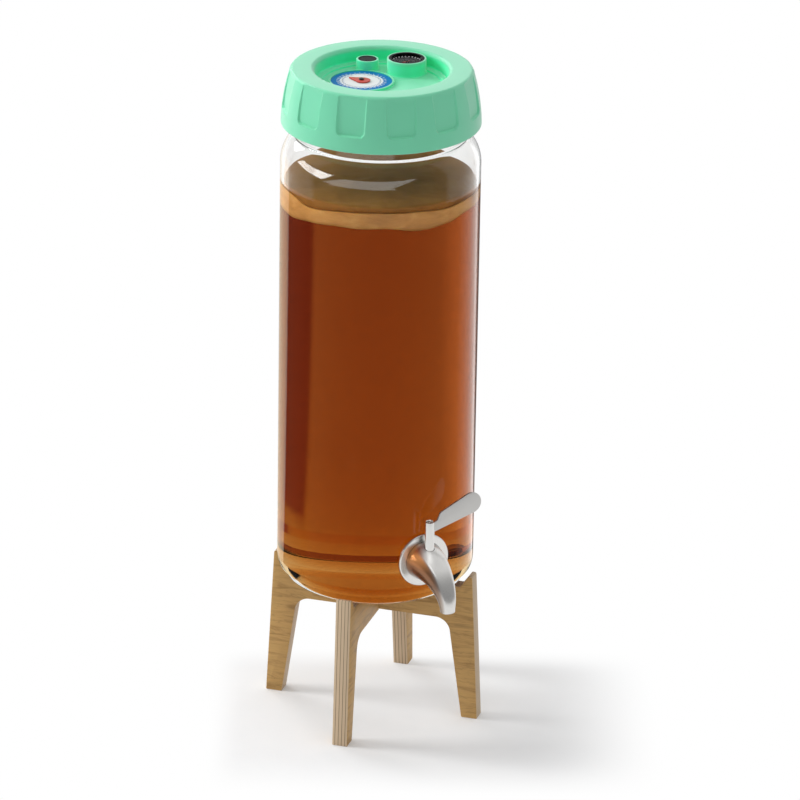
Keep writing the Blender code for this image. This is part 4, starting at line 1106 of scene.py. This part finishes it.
def make_jar(sizes):
    """The glass, its tap hole and the ridge that the lid screws on."""
    glass = clear_glass()
    wet = sizes.culture_top - 2.0 * MM
    jar = lathe("jar_glass", jar_profile(sizes.glass_wall, sizes.base_corner, wet), 192,
                glass, sharp=60.0)
    near, far, radius = JAR_RADIUS - 20.0 * MM, JAR_RADIUS + 20.0 * MM, 8.6 * MM
    cut(jar, about_tap("hole", [(0.0, near), (radius, near), (radius, far), (0.0, far)], 64,
                       glass))
    jar.data.materials.append(clear_glass("wetted_glass", 1.0))
    # The base glass's foot carries a painted dark line of shade.
    jar.data.materials.append(clear_glass("base_glass", 1.15, (0.26, 0.075, 0.03)))
    for face in jar.data.polygons:
        out = math.hypot(face.center.x - AXIS.x, face.center.y - AXIS.y)
        inner = out < JAR_RADIUS - sizes.glass_wall / 2
        if inner and JAR_BASE + 3.5 * MM < face.center.z < JAR_BASE + wet:
            face.material_index = 1
        elif JAR_BASE + 0.6 * MM < face.center.z < JAR_BASE + sizes.base_corner:
            face.material_index = 2
    settle(jar, "jar", "clear_glass", "glass_jar")
    make_thread("jar_thread", "jar", "clear_glass", glass, THREAD_LOW, sizes.thread_pitch,
                NECK_RADIUS + 0.2 * MM, 1.6, 1.3 * MM)


# Tea and culture

def around(levels, angle):
    """Height in the jar at an angle, smoothly between the given ones."""
    phi = math.degrees(angle + math.pi / 2 - VIEW_TURN)
    phi = (phi + 180.0) % 360.0 - 180.0
    for (a, low), (b, high) in zip(levels, levels[1:]):
        if phi <= b:
            share = (phi - a) / (b - a)
            return (low + (high - low) * (3 - 2 * share) * share * share) * MM
    return levels[-1][1] * MM


def wave(angle):
    """Height in the jar of the wavy line under the culture."""
    return around(WAVE, angle) + 0.35 * math.sin(9.0 * angle) * MM


def seam(angle):
    """Height in the jar of the line between the culture and the pale layer."""
    return around(SEAM, angle) + 0.15 * math.sin(11.0 * angle) * MM


def ruffle(angle, height, amount, seed):
    """A small smooth unevenness round the culture."""
    place = Vector((math.cos(angle) * 2.2 + seed, math.sin(angle) * 2.2, height * 60.0))
    return amount * noise.noise(place)


def flattened(line, middle, share, lift=0.0):
    """A line round the jar drawn towards a middle height, and lifted."""
    return lambda a: middle + (line(a) - middle) * share + lift


def moved(line, lift):
    """A line round the jar, lifted."""
    return lambda a: line(a) + lift


def ruffled(level, height, amount, seed):
    """A radius or height with a small unevenness round it."""
    return lambda a: level + ruffle(a, height, amount, seed)


def bowl(name, rings, steps, mat):
    """Close a stack of (radius, height) rings about the jar's axis.

    Each is a number or a function of the angle; a ring of radius 0 is one point.
    """
    def at(value, angle):
        return value(angle) if callable(value) else value

    verts, rows = [], []
    for radius, height in rings:
        if radius == 0.0:
            rows.append([len(verts)] * steps)
            verts.append((AXIS.x, AXIS.y, JAR_BASE + height))
            continue
        rows.append(list(range(len(verts), len(verts) + steps)))
        for angle in around_circle(steps):
            r = at(radius, angle)
            verts.append((AXIS.x + r * math.cos(angle), AXIS.y + r * math.sin(angle),
                          JAR_BASE + at(height, angle)))
    return finish_mesh(name, mesh_of(name, verts, skin_rows(rows)), mat, 70.0)


def tea_rings(room):
    """The tea, from its floor to the wavy line under the culture."""
    corner, low = 33.0 * MM, 4.75 * MM
    rings = [(0.0, low + 1.5 * MM), (20.0 * MM, low + 1.3 * MM),
             (34.0 * MM, low + 0.6 * MM), (44.0 * MM, low)]
    for r, z in arc((0.0, 0.0), 1.0, -90, 0, 14):
        rings.append((room - corner + corner * r, low + 26.0 * MM * (1.0 + z)))
    rings += [(room, z * MM) for z in range(60, 330, 30)]
    rings += [(room, moved(wave, -0.6 * MM)), (room - 0.8 * MM, moved(wave, -0.2 * MM))]
    rings += [(room * share, flattened(wave, WAVE_MIDDLE, share, -0.2 * MM))
              for share in (0.8, 0.5, 0.2)]
    return rings + [(0.0, 336.8 * MM)]


def layer_rings(edge):
    """The pale layer, from the wavy line to the seam."""
    rings = [(0.0, WAVE_MIDDLE)]
    rings += [(edge * share, flattened(wave, WAVE_MIDDLE, share)) for share in (0.2, 0.5, 0.8)]
    return rings + [
        (edge - 1.4 * MM, wave),
        (edge - 0.3 * MM, moved(wave, 1.0 * MM)),
        (ruffled(edge - 0.2 * MM, 0.1, 0.3 * MM, 3.0), moved(wave, 3.5 * MM)),
        (ruffled(edge - 0.2 * MM, 0.2, 0.3 * MM, 5.0), moved(seam, -1.6 * MM)),
        (edge - 0.6 * MM, moved(seam, -0.4 * MM)),
        (edge - 1.6 * MM, moved(seam, -0.1 * MM)),
        (edge * 0.8, flattened(seam, SEAM_MIDDLE, 0.5)),
        (0.0, SEAM_MIDDLE)]


def culture_rings(edge, top):
    """The culture, from the seam to its uneven top."""
    return [
        (0.0, SEAM_MIDDLE + 0.3 * MM),
        (edge * 0.8, flattened(seam, SEAM_MIDDLE, 0.5, 0.3 * MM)),
        (edge - 2.2 * MM, moved(seam, 0.1 * MM)),
        (edge - 1.0 * MM, moved(seam, 0.4 * MM)),
        (ruffled(edge - 0.4 * MM, 0.3, 0.3 * MM, 9.0), moved(seam, 1.2 * MM)),
        (edge - 0.2 * MM, ruffled(top - 1.3 * MM, 0.5, 0.4 * MM, 4.0)),
        (edge - 0.4 * MM, ruffled(top - 0.7 * MM, 0.5, 0.4 * MM, 4.0)),
        (edge - 1.2 * MM, ruffled(top - 0.3 * MM, 0.5, 0.4 * MM, 4.0)),
        (edge - 5.0 * MM, ruffled(top - 0.1 * MM, 0.6, 0.6 * MM, 6.0)),
        (edge * 0.72, ruffled(top + 0.1 * MM, 0.9, 1.0 * MM, 8.0)),
        (edge * 0.45, ruffled(top + 0.2 * MM, 1.3, 1.0 * MM, 2.0)),
        (edge * 0.2, ruffled(top + 0.2 * MM, 1.7, 0.5 * MM, 1.0)),
        (0.0, top + 0.3 * MM)]


def make_drink(sizes, colours):
    """The tea, the culture that floats on it and the pale layer between them."""
    room = JAR_RADIUS - sizes.glass_wall - 0.25 * MM
    edge = room - 0.3 * MM
    top = sizes.culture_top
    tea = bowl("tea", tea_rings(room), 144, tea_liquid(colours.tea))
    settle(tea, "jar", "clear_glass")
    skin = culture_skin(colours.culture, JAR_BASE + top)
    layer = bowl("culture_layer", layer_rings(edge), 180, pale_layer())
    settle(layer, "jar", "clear_glass")
    culture = bowl("culture", culture_rings(edge - 0.3 * MM, top), 180, skin)
    settle(culture, "jar", "clear_glass")


# Tap

def facing_front(y):
    """Turn a shape to face the front, at the tap's height and a place along Y."""
    return Matrix.Translation((0.0, y, TAP_AXIS)) @ Matrix.Rotation(math.pi / 2, 4, "X")


def about_tap(name, profile, steps, mat):
    """Turn a (radius, distance from the jar's axis) profile about the tap's axis."""
    return lathe(name, profile, steps, mat, (0.0, 0.0), matrix=facing_front(AXIS.y))


def horn_section(share, radius):
    """Outline of the spout at a share of its length: round, flatter in front."""
    flat = smoothstep(0.0, 0.4, share) * (1.0 - 0.65 * smoothstep(0.6, 1.0, share))
    points = []
    for angle in around_circle(72):
        front = math.cos(angle)
        near = radius if front < 0.3 else min(radius, 0.74 * radius / front)
        r = radius + (near - radius) * flat
        points.append((r * math.cos(angle), r * math.sin(angle)))
    return points


def make_spout(mat):
    """The curved spout: a skin over sections along a quarter ellipse, then bored."""
    root = -FLANGE_LOW.y + AXIS.y + 0.3 * MM
    start = root + 1.5 * MM
    end = -BODY_LOW.y + AXIS.y - 6.3 * MM
    run = TAP_AXIS - BODY_LOW.z - 2.5 * MM
    count = 36
    places = [(0.0, root, TAP_AXIS, 0.0)]
    for i in range(count + 1):
        angle = math.pi / 2 * i / count
        places.append((i / count, start + (end - start) * math.sin(angle),
                       TAP_AXIS - run + run * math.cos(angle), angle))
    places.append((1.0, end, BODY_LOW.z + 0.4 * MM, math.pi / 2))
    places.append((1.0, end, BODY_LOW.z, math.pi / 2))
    sections = []
    for n, (share, out, height, angle) in enumerate(places):
        slope = math.atan2(run * math.sin(angle), (end - start) * math.cos(angle) + 1e-9)
        radius = (6.3 + 10.3 * (1.0 - share) ** 1.2) * MM
        if n == len(places) - 1:
            radius -= 0.35 * MM
        outward = Vector((0.0, -math.sin(slope), math.cos(slope)))
        sections.append([Vector((0.0, AXIS.y - out, height)) + outward * x
                         + Vector((1.0, 0.0, 0.0)) * y
                         for x, y in horn_section(share, radius)])
    spout = sweep("tap_spout", sections, mat, 45.0)
    rings = []
    for height, radius in ((BODY_LOW.z - 2.0 * MM, 4.8 * MM),
                           (BODY_LOW.z + 9.0 * MM, 4.6 * MM)):
        rings.append([Vector((radius * math.cos(a), AXIS.y - end + radius * math.sin(a),
                              height)) for a in around_circle(48)])
    cut(spout, sweep("bore", rings, mat))
    cut(spout, rod("well", 4.35 * MM, TAP_AXIS + 6.0 * MM, TAP_AXIS + 30.0 * MM, 48, mat,
                   STEM_CENTRE))
    shade(spout.data, 45.0)
    settle(spout, "jar", "tap_steel", "tap_body")


def lever_outline():
    """The blade: a waist at the stem, a shoulder and a widening round end."""
    low = 28.4
    points = [(0.3, 37.0), (0.3, low), (4.0, low)]
    points += arc((38.4, low + 19.4), 9.2, -75, 113, 28)
    shoulder = rounded([points[-1], (9.4, 44.5), (6.8, 38.3), (4.3, 37.0)],
                       [0.0, 4.0, 1.6, 0.0], 8)
    return in_mm(points + shoulder[1:])


def make_stem(mat, slot_mat):
    """The upright stem, dished on top, with the slot that the lever sits in."""
    r = (STEM_HIGH.x - STEM_LOW.x) / 2
    top = STEM_HIGH.z
    profile = [(0.0, top - 1.4 * MM), (2.7 * MM, top - 1.4 * MM), (2.9 * MM, top - 0.3 * MM),
               (3.3 * MM, top), (r - 0.5 * MM, top), (r - 0.12 * MM, top - 0.15 * MM),
               (r, top - 0.5 * MM), (r, STEM_LOW.z), (0.0, STEM_LOW.z)]
    stem = lathe("valve_stem", profile, 64, mat, STEM_CENTRE)
    slot = plate("slot", in_mm([(0.0, -1.3), (9.0, -1.3), (9.0, 1.3), (0.0, 1.3)]),
                 16.0 * MM, slot_mat,
                 Matrix.Translation((STEM_CENTRE.x, STEM_CENTRE.y, top - 1.9 * MM)))
    cut(stem, slot)
    settle(stem, "tap_valve", "brushed_steel", "tap_stem")


def make_tap(colours):
    """Spout, collar, stem and lever, and the finishes of the fittings inside."""
    metal = tuple(colours.steel)
    spout_mat = steel("spout_steel", metal, 0.24)
    collar_mat = steel("collar_steel", metal, 0.16, 0.05)
    # Painted shade: the lever's steel is a darker copy of the tap's steel.
    shaded_lever_mat = steel("lever_steel", tinted(metal, 0.74), 0.30, 0.16, level_marks=True)
    # The spout's steel has the tea's reflection painted on its side.
    make_spout(steel("horn_steel", metal, 0.24, warm=True))
    near, far = AXIS.y - FLANGE_HIGH.y, AXIS.y - FLANGE_LOW.y
    radius = (FLANGE_HIGH.x - FLANGE_LOW.x) / 2
    face = rounded([(8.3 * MM, near), (radius, near), (radius, far), (8.3 * MM, far)],
                   [0.0, 0.3 * MM, 1.0 * MM, 0.0])
    settle(about_tap("tap_collar", face, 128, collar_mat), "jar", "brushed_steel",
           "tap_flange")
    inside, seat = AXIS.y - BODY_HIGH.y, near + 3.5 * MM
    shank = [(0.0, inside), (7.4 * MM, inside), (8.0 * MM, inside + 0.6 * MM),
             (8.0 * MM, seat), (0.0, seat)]
    settle(about_tap("tap_shank", shank, 64, spout_mat), "jar", "tap_steel", "tap_body")
    make_stem(collar_mat, shaded_lever_mat)
    lever = plate("valve_lever", lever_outline(), 2.0 * MM, shaded_lever_mat,
                  facing_front(STEM_CENTRE.y), 0.35 * MM, 3)
    settle(lever, "tap_valve", "brushed_steel", "tap_lever")
    rubber = silicone()
    for node in ("tap_outer_gasket", "tap_inner_gasket", "tap_stem_seal"):
        dress(node, rubber)
    for node in ("tap_washer", "tap_nut"):
        dress(node, collar_mat)


# Lid

def skirt_radius(below):
    """Radius of the lid's side at a depth below its top edge."""
    share = min(1.0, max(0.0, (below - LID_EDGE) / (LID_TOP - LID_FOOT - 5.0 * MM)))
    return SKIRT_TOP + (LID_RADIUS - SKIRT_TOP) * (share + 0.8 * share * (1.0 - share))


def pocket_mask(aside, below):
    """How far a point lies inside a grip pocket: 0 outside, 1 inside."""
    corner = 4.5 * MM
    x = abs(aside) - (POCKET_HALF - corner)
    z = below - (POCKET_LENGTH - corner)
    outside = math.hypot(max(x, 0.0), max(z, 0.0)) - corner
    inside = min(max(x, z), 0.0)
    return 1.0 - smoothstep(-0.42 * MM, 0.42 * MM, outside + inside)


def pocketed(first, last):
    """A rule that presses flat grip pockets into part of the lid's profile."""
    def reshape(radius, height, angle, index):
        if radius < LID_RADIUS - 13.0 * MM or not first <= index <= last:
            return radius
        pitch = CIRCLE / POCKETS
        turn = (angle + math.pi / 2 - POCKET_PHASE + pitch / 2) % pitch - pitch / 2
        below = LID_TOP - height
        depth = (1.5 + 1.1 * below / POCKET_LENGTH) * MM
        floor = (skirt_radius(below) - depth) / math.cos(turn)
        return radius + (min(radius, floor) - radius) * pocket_mask(turn * radius, below)
    return reshape


def lid_angles():
    """Angles round the lid, close together at the pockets' sides."""
    pitch = 360.0 / POCKETS
    offsets = [-15.0, -13.3, -11.6, -10.2]
    offsets += [-9.6 + 0.3 * k for k in range(9)]
    offsets += [-6.4, -5.0, -3.4, -1.7, 0.0]
    offsets += [-x for x in reversed(offsets[1:-1])]
    start = math.degrees(POCKET_PHASE) - 90.0
    return [math.radians(start + pitch * p + o) for p in range(POCKETS) for o in offsets]


def lid_profile():
    """The lid's section, and the first and last of its points that lie on its side.

    It runs over the recess, the rim and the side, and back through the channel that
    the neck rises into.
    """
    wall = 2.8 * MM
    foot = RECESS_RADIUS - 2.5 * MM
    step = foot - 3.0 * MM
    points = [(0.0, SUNK_FLOOR), (30.0 * MM, SUNK_FLOOR), (step - 2.0 * MM, SUNK_FLOOR)]
    points += rounded([(step - 2.0 * MM, SUNK_FLOOR), (step - 0.6 * MM, SUNK_FLOOR),
                       (step, RECESS_FLOOR), (step + 2.0 * MM, RECESS_FLOOR)],
                      [0.0, 0.6 * MM, 0.6 * MM, 0.0], 4)[1:-1]
    points += arc((foot, RECESS_FLOOR + 2.5 * MM), 2.5 * MM, -90, 0, 7)
    points += arc((RECESS_RADIUS + 3.6 * MM, LID_TOP - 3.6 * MM), 3.6 * MM, 180, 90, 10)
    first = len(points)
    points += arc((SKIRT_TOP - LID_EDGE, LID_TOP - LID_EDGE), LID_EDGE, 90, 18, 10)
    depths = [4.5, 5.5] + [7.5 + 3.0 * k for k in range(8)]
    depths += [30.2 + 0.45 * k for k in range(11)]
    depths += [37.0, 40.0, 43.0, (LID_TOP - LID_FOOT) / MM - 2.2]
    points += [(skirt_radius(d * MM), LID_TOP - d * MM) for d in depths]
    last = len(points) - 1
    points += arc((LID_RADIUS - 1.4 * MM, LID_FOOT + 1.4 * MM), 1.4 * MM, 0, -90, 6)
    points += arc((SKIRT_INNER + 1.0 * MM, LID_FOOT + 1.0 * MM), 1.0 * MM, -90, -180, 5)
    inner, roof, under = RECESS_RADIUS + wall, LID_TOP - wall, RECESS_FLOOR - wall
    points += [(SKIRT_INNER, roof - 1.0 * MM), (SKIRT_INNER - 1.0 * MM, roof),
               (inner + 1.0 * MM, roof), (inner, roof - 1.0 * MM),
               (inner, under + 0.8 * MM), (inner - 0.8 * MM, under), (0.0, under)]
    return points, first, last


def boss(name, centre, radius, height, mat, foot):
    """A round seat on the recess's floor, with a fillet of a given radius at its foot."""
    low = SUNK_FLOOR - 0.9 * MM
    top = SUNK_FLOOR + height
    points = [(0.0, top)]
    points += arc((radius - 0.6 * MM, top - 0.6 * MM), 0.6 * MM, 90, 0, 5)
    points += arc((radius + foot, SUNK_FLOOR + foot - 0.15 * MM), foot, 180, 268, 7)
    points += [(radius + foot, low), (0.0, low)]
    return lathe(name, points, 96, mat, centre)


def make_lid(sizes, colours):
    """The lid's moulding, its seats and its inner thread."""
    mint = mint_plastic(tuple(colours.mint))
    points, first, last = lid_profile()
    lid = lathe("lid_moulding", points, lid_angles(), mint, sharp=30.0,
                reshape=pocketed(first, last))
    for name, centre, radius, height, foot in (
            ("date_seat", DATE_CENTRE, DATE_RADIUS + 1.9 * MM, 2.0 * MM, 0.8 * MM),
            ("thermo_seat", THERMO_CENTRE, THERMO_RADIUS + 1.6 * MM,
             THERMO_HIGH.z - SUNK_FLOOR, 2.2 * MM),
            ("vent_seat", VENT_CENTRE, VENT_RADIUS + 1.8 * MM,
             VENT_HIGH.z - SUNK_FLOOR, 2.2 * MM)):
        combine(lid, boss(name, centre, radius, height, mint, foot), "UNION")
    for centre, radius, low, high in (
            (DATE_CENTRE, DATE_RADIUS + 0.3 * MM, SUNK_FLOOR + 0.05 * MM,
             SUNK_FLOOR + 6.0 * MM),
            (DATE_CENTRE, PIN_HOLE, SUNK_FLOOR - 1.4 * MM, SUNK_FLOOR + 1.0 * MM),
            (THERMO_CENTRE, THERMO_RADIUS + 0.3 * MM, THERMO_HIGH.z - 9.3 * MM,
             THERMO_HIGH.z + 4.0 * MM),
            (VENT_CENTRE, VENT_RADIUS + 0.3 * MM, VENT_HIGH.z - 3.3 * MM,
             VENT_HIGH.z + 4.0 * MM),
            (VENT_CENTRE, VENT_RADIUS - 3.0 * MM, SUNK_FLOOR - 8.0 * MM,
             VENT_HIGH.z - 2.0 * MM)):
        cut(lid, rod("bore", radius, high, low, 96, mint, centre))
    shade(lid.data, 32.0)
    settle(lid, "lid", "mint_plastic", "lid_shell")
    make_thread("lid_thread", "lid", "mint_plastic", mint,
                THREAD_LOW - sizes.thread_pitch / 2, sizes.thread_pitch, SKIRT_INNER, 1.4,
                1.2 * MM)
    dress("lid_gasket", silicone())


# Dials and vent

def numbers(name, labels, centre, radius, size, level, mat, start, turn):
    """Plain numbers round a circle, upright towards its middle, as one mesh."""
    work = bmesh.new()
    for i, label in enumerate(labels):
        curve = bpy.data.curves.new("figure", "FONT")
        curve.body = str(label)
        curve.size = size
        curve.align_x = "CENTER"
        curve.align_y = "CENTER"
        curve.resolution_u = 2
        curve.extrude = 0.03 * MM
        figure = add_object("figure", curve)
        mesh = evaluated_mesh(figure)
        bpy.data.objects.remove(figure, do_unlink=True)
        mesh.transform(Matrix.Translation((centre.x, centre.y, level))
                       @ Matrix.Rotation(start + turn * i / len(labels), 4, "Z")
                       @ Matrix.Translation((radius, 0.0, 0.0))
                       @ Matrix.Rotation(-math.pi / 2, 4, "Z"))
        work.from_mesh(mesh)
        bpy.data.meshes.remove(mesh)
    return finish_mesh(name, mesh_from(name, work), mat, None)


def make_pointer(mat):
    """The drop-shaped hand of the date dial, with its hole."""
    low, high = POINTER_LOW.z, POINTER_HIGH.z
    tip, r, tail = 12.5, 6.2, 1.3
    spread = math.degrees(math.acos(r / (tip + tail)))
    outline = in_mm([(tip, 0.0)] + arc((-tail, 0.0), r, spread, 360.0 - spread, 48))
    outline = rounded(outline, [0.5 * MM] + [0.0] * (len(outline) - 1), 5, closed=True)
    matrix = (Matrix.Translation((DATE_CENTRE.x, DATE_CENTRE.y, (low + high) / 2))
              @ Matrix.Rotation(math.radians(122.0), 4, "Z"))
    drop = plate("date_hand_drop", outline, high - low, mat, matrix, 0.22 * MM, 3)
    cut(drop, rod("bore", PIN_HOLE, high + 1.0 * MM, low - 1.0 * MM, 96, mat, DATE_CENTRE))
    shade(drop.data, 40.0)
    settle(drop, "date_hand", "pointer_red", "date_pointer")


def make_date(sizes, colours):
    """The date dial: card, marks, numbers, drop-shaped hand and its pin."""
    blue_ink = tuple(colours.dial_blue)
    card = dial_card(blue_ink)
    blue = plain_finish("print_blue", blue_ink, 0.4)
    white = plain_finish("print_white", (0.86, 0.87, 0.88), 0.4)
    red = plain_finish("pointer_red", tuple(colours.pointer_red), 0.28)
    black = plain_finish("black_plastic", (0.018, 0.018, 0.019), 0.32)
    low, high = DIAL_LOW.z, DIAL_HIGH.z
    section = rounded([(PIN_HOLE, high), (DATE_RADIUS, high), (DATE_RADIUS, low),
                       (PIN_HOLE, low)], [0.0, 0.15 * MM, 0.1 * MM, 0.0], 3)
    disc = lathe("date_card", section, 128, card, DATE_CENTRE)
    settle(disc, "lid", "dial_card", "date_dial")
    upward = math.radians(90.0)
    for name, count, radius, length, width in (
            ("date_marks", sizes.date_ticks, 17.5, 1.2, 0.55),
            ("date_fine_marks", sizes.date_ticks * 2, 15.0, 0.8, 0.20)):
        make_marks(name, DATE_CENTRE, high + 0.02 * MM, "dial_card", blue, Count=count,
                   Radius=radius * MM, Length=length * MM, Width=width * MM,
                   Height=0.08 * MM, Start=upward)
    figures = numbers("date_numbers", range(1, sizes.date_ticks + 1), DATE_CENTRE,
                      19.5 * MM, 2.7 * MM, high + 0.04 * MM, white, upward, -CIRCLE)
    settle(figures, "lid", "dial_card")
    make_pointer(red)
    head, top = POINTER_HIGH.z + 0.3 * MM, PIVOT_HIGH.z
    profile = [(0.0, top - 0.35 * MM), (0.9 * MM, top - 0.35 * MM), (1.1 * MM, top),
               (1.8 * MM, top - 0.05 * MM), (2.1 * MM, top - 0.35 * MM), (2.1 * MM, head),
               (1.3 * MM, head), (1.3 * MM, PIVOT_LOW.z), (0.0, PIVOT_LOW.z)]
    pin = lathe("date_pin", profile, 48, black, DATE_CENTRE)
    settle(pin, "lid", "black_plastic", "date_pivot")


def make_thermometer(sizes):
    """The round thermometer: bezel, card, marks, numbers, hand and window."""
    dull = 0.04
    black = plain_finish("thermo_black", (0.006, 0.006, 0.007), 0.3, specular=dull)
    white = plain_finish("thermo_print", (0.80, 0.80, 0.80), 0.45, specular=dull)
    card = plain_finish("thermo_card", (0.006, 0.006, 0.007), 0.45, 700.0, 0.3, dull)
    grey = plain_finish("thermo_grey", (0.10, 0.10, 0.11), 0.5, specular=dull)
    red = plain_finish("thermo_hand", (0.30, 0.035, 0.030), 0.35, specular=dull)
    low, high, hollow = THERMO_LOW.z, THERMO_HIGH.z, THERMO_RADIUS - 2.0 * MM
    ring = rounded([(hollow, low), (THERMO_RADIUS, low), (THERMO_RADIUS, high),
                    (hollow, high)], [0.0, 0.0, 0.25 * MM, 0.15 * MM], 5)
    bezel = lathe("thermo_bezel", ring, 128, black, THERMO_CENTRE)
    settle(bezel, "lid", "black_plastic", "thermometer_bezel")
    face, hole = FACE_HIGH.z, 1.1 * MM
    section = rounded([(hole, face), (FACE_RADIUS, face), (FACE_RADIUS, FACE_LOW.z),
                       (hole, FACE_LOW.z)], [0.0, 0.1 * MM, 0.0, 0.0], 3)
    disc = lathe("thermo_face", section, 96, card, THERMO_CENTRE)
    settle(disc, "lid", "thermometer_dial", "thermometer_face")
    start = math.radians(225.0)
    make_marks("thermo_marks", THERMO_CENTRE, face + 0.02 * MM, "thermometer_dial", white,
               Count=sizes.thermometer_ticks, Radius=FACE_RADIUS - 0.8 * MM,
               Length=0.6 * MM, Width=1.0 * MM, Height=1.3 * MM, Start=start,
               Sweep=math.radians(-277.0))
    figures = numbers("thermo_numbers", range(0, 55, 5), THERMO_CENTRE,
                      FACE_RADIUS - 3.6 * MM, 2.3 * MM, face + 0.04 * MM, grey, start,
                      math.radians(-299.0))
    settle(figures, "lid", "thermometer_dial")
    inner, outer = 6.2 * MM, 6.6 * MM
    above, below = face + 0.06 * MM, face - 0.02 * MM
    band = lathe("thermo_band", [(inner, above), (outer, above), (outer, below),
                                 (inner, below)], 96, grey, THERMO_CENTRE)
    settle(band, "lid", "thermometer_dial")
    dress("thermometer_needle", red)
    dress("thermometer_case", black)
    dress("thermometer_hub", black)
    dress("thermometer_lens", lens_clear())


def make_vent():
    """The vent's porous disc, dished and slightly domed."""
    radius, low, high = VENT_RADIUS, VENT_LOW.z, VENT_HIGH.z
    points = [(0.0, high - 0.25 * MM), (radius * 0.5, high - 0.32 * MM),
              (radius - 0.9 * MM, high - 0.5 * MM)]
    points += rounded([(radius - 0.7 * MM, high - 0.5 * MM), (radius - 0.4 * MM, high),
                       (radius, high), (radius, low)], [0.0, 0.1 * MM, 0.2 * MM, 0.0], 3)
    points += [(0.0, low)]
    disc = lathe("vent_foam", points, 96, porous_filter(), VENT_CENTRE)
    settle(disc, "lid", "filter_black", "vent_filter")


# Operators

class FERMENTER_OT_stage(bpy.types.Operator):
    """Make the camera, the floor, the lamps and the world"""
    bl_idname = "fermenter.stage"
    bl_label = "Stage"

    def execute(self, context):
        make_camera(context.scene)
        make_floor()
        key = add_lamp("key", *KEY_LAMP)
        key.visible_glossy = False
        key.visible_transmission = False
        rim = add_lamp("rim", *RIM_LAMP)
        rim.visible_transmission = False
        add_lamp("top", *TOP_LAMP)
        make_world(context.scene)
        context.scene.view_settings.view_transform = "Standard"
        return {"FINISHED"}


class FERMENTER_OT_stand(bpy.types.Operator):
    """Make the two plywood frames"""
    bl_idname = "fermenter.stand"
    bl_label = "Plywood stand"

    def execute(self, context):
        make_stand(context.scene.fermenter_colours)
        return {"FINISHED"}


class FERMENTER_OT_jar(bpy.types.Operator):
    """Make the glass jar and its thread"""
    bl_idname = "fermenter.jar"
    bl_label = "Glass jar"

    def execute(self, context):
        make_jar(context.scene.fermenter_sizes)
        return {"FINISHED"}


class FERMENTER_OT_drink(bpy.types.Operator):
    """Make the tea and the culture that floats on it"""
    bl_idname = "fermenter.drink"
    bl_label = "Tea and culture"

    def execute(self, context):
        make_drink(context.scene.fermenter_sizes, context.scene.fermenter_colours)
        return {"FINISHED"}


class FERMENTER_OT_tap(bpy.types.Operator):
    """Make the tap: spout, collar, stem and lever"""
    bl_idname = "fermenter.tap"
    bl_label = "Steel tap"

    def execute(self, context):
        make_tap(context.scene.fermenter_colours)
        return {"FINISHED"}


class FERMENTER_OT_lid(bpy.types.Operator):
    """Make the moulded lid and its thread"""
    bl_idname = "fermenter.lid"
    bl_label = "Lid"

    def execute(self, context):
        make_lid(context.scene.fermenter_sizes, context.scene.fermenter_colours)
        return {"FINISHED"}


class FERMENTER_OT_date(bpy.types.Operator):
    """Make the date dial and its hand"""
    bl_idname = "fermenter.date"
    bl_label = "Date dial"

    def execute(self, context):
        make_date(context.scene.fermenter_sizes, context.scene.fermenter_colours)
        return {"FINISHED"}


class FERMENTER_OT_thermometer(bpy.types.Operator):
    """Make the thermometer"""
    bl_idname = "fermenter.thermometer"
    bl_label = "Thermometer"

    def execute(self, context):
        make_thermometer(context.scene.fermenter_sizes)
        return {"FINISHED"}


class FERMENTER_OT_vent(bpy.types.Operator):
    """Make the vent's porous disc"""
    bl_idname = "fermenter.vent"
    bl_label = "Vent"

    def execute(self, context):
        make_vent()
        return {"FINISHED"}


OPERATORS = (FERMENTER_OT_stage, FERMENTER_OT_stand, FERMENTER_OT_jar, FERMENTER_OT_drink,
             FERMENTER_OT_tap, FERMENTER_OT_lid, FERMENTER_OT_date,
             FERMENTER_OT_thermometer, FERMENTER_OT_vent)


class FERMENTER_PT_panel(bpy.types.Panel):
    """The fermenter's sizes, colours and pieces"""
    bl_label = "Kombucha Fermenter"
    bl_idname = "FERMENTER_PT_panel"
    bl_space_type = "VIEW_3D"
    bl_region_type = "UI"
    bl_category = "Fermenter"

    def draw(self, context):
        layout = self.layout
        for group in (context.scene.fermenter_sizes, context.scene.fermenter_colours):
            column = layout.column()
            for name in group.bl_rna.properties.keys():
                if name not in {"rna_type", "name"}:
                    column.prop(group, name)
        for operator in OPERATORS:
            layout.operator(operator.bl_idname)


CLASSES = (FermenterSizes, FermenterColours) + OPERATORS + (FERMENTER_PT_panel,)


def register():
    """Register the classes and the scene's settings."""
    for cls in CLASSES:
        bpy.utils.register_class(cls)
    bpy.types.Scene.fermenter_sizes = PointerProperty(type=FermenterSizes)
    bpy.types.Scene.fermenter_colours = PointerProperty(type=FermenterColours)


def unregister():
    """Remove the scene's settings and the classes."""
    del bpy.types.Scene.fermenter_colours
    del bpy.types.Scene.fermenter_sizes
    for cls in reversed(CLASSES):
        bpy.utils.unregister_class(cls)


def main():
    """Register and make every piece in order."""
    register()
    bpy.ops.fermenter.stage()
    bpy.ops.fermenter.stand()
    bpy.ops.fermenter.jar()
    bpy.ops.fermenter.drink()
    bpy.ops.fermenter.tap()
    bpy.ops.fermenter.lid()
    bpy.ops.fermenter.date()
    bpy.ops.fermenter.thermometer()
    bpy.ops.fermenter.vent()


if __name__ == "__main__":
    main()
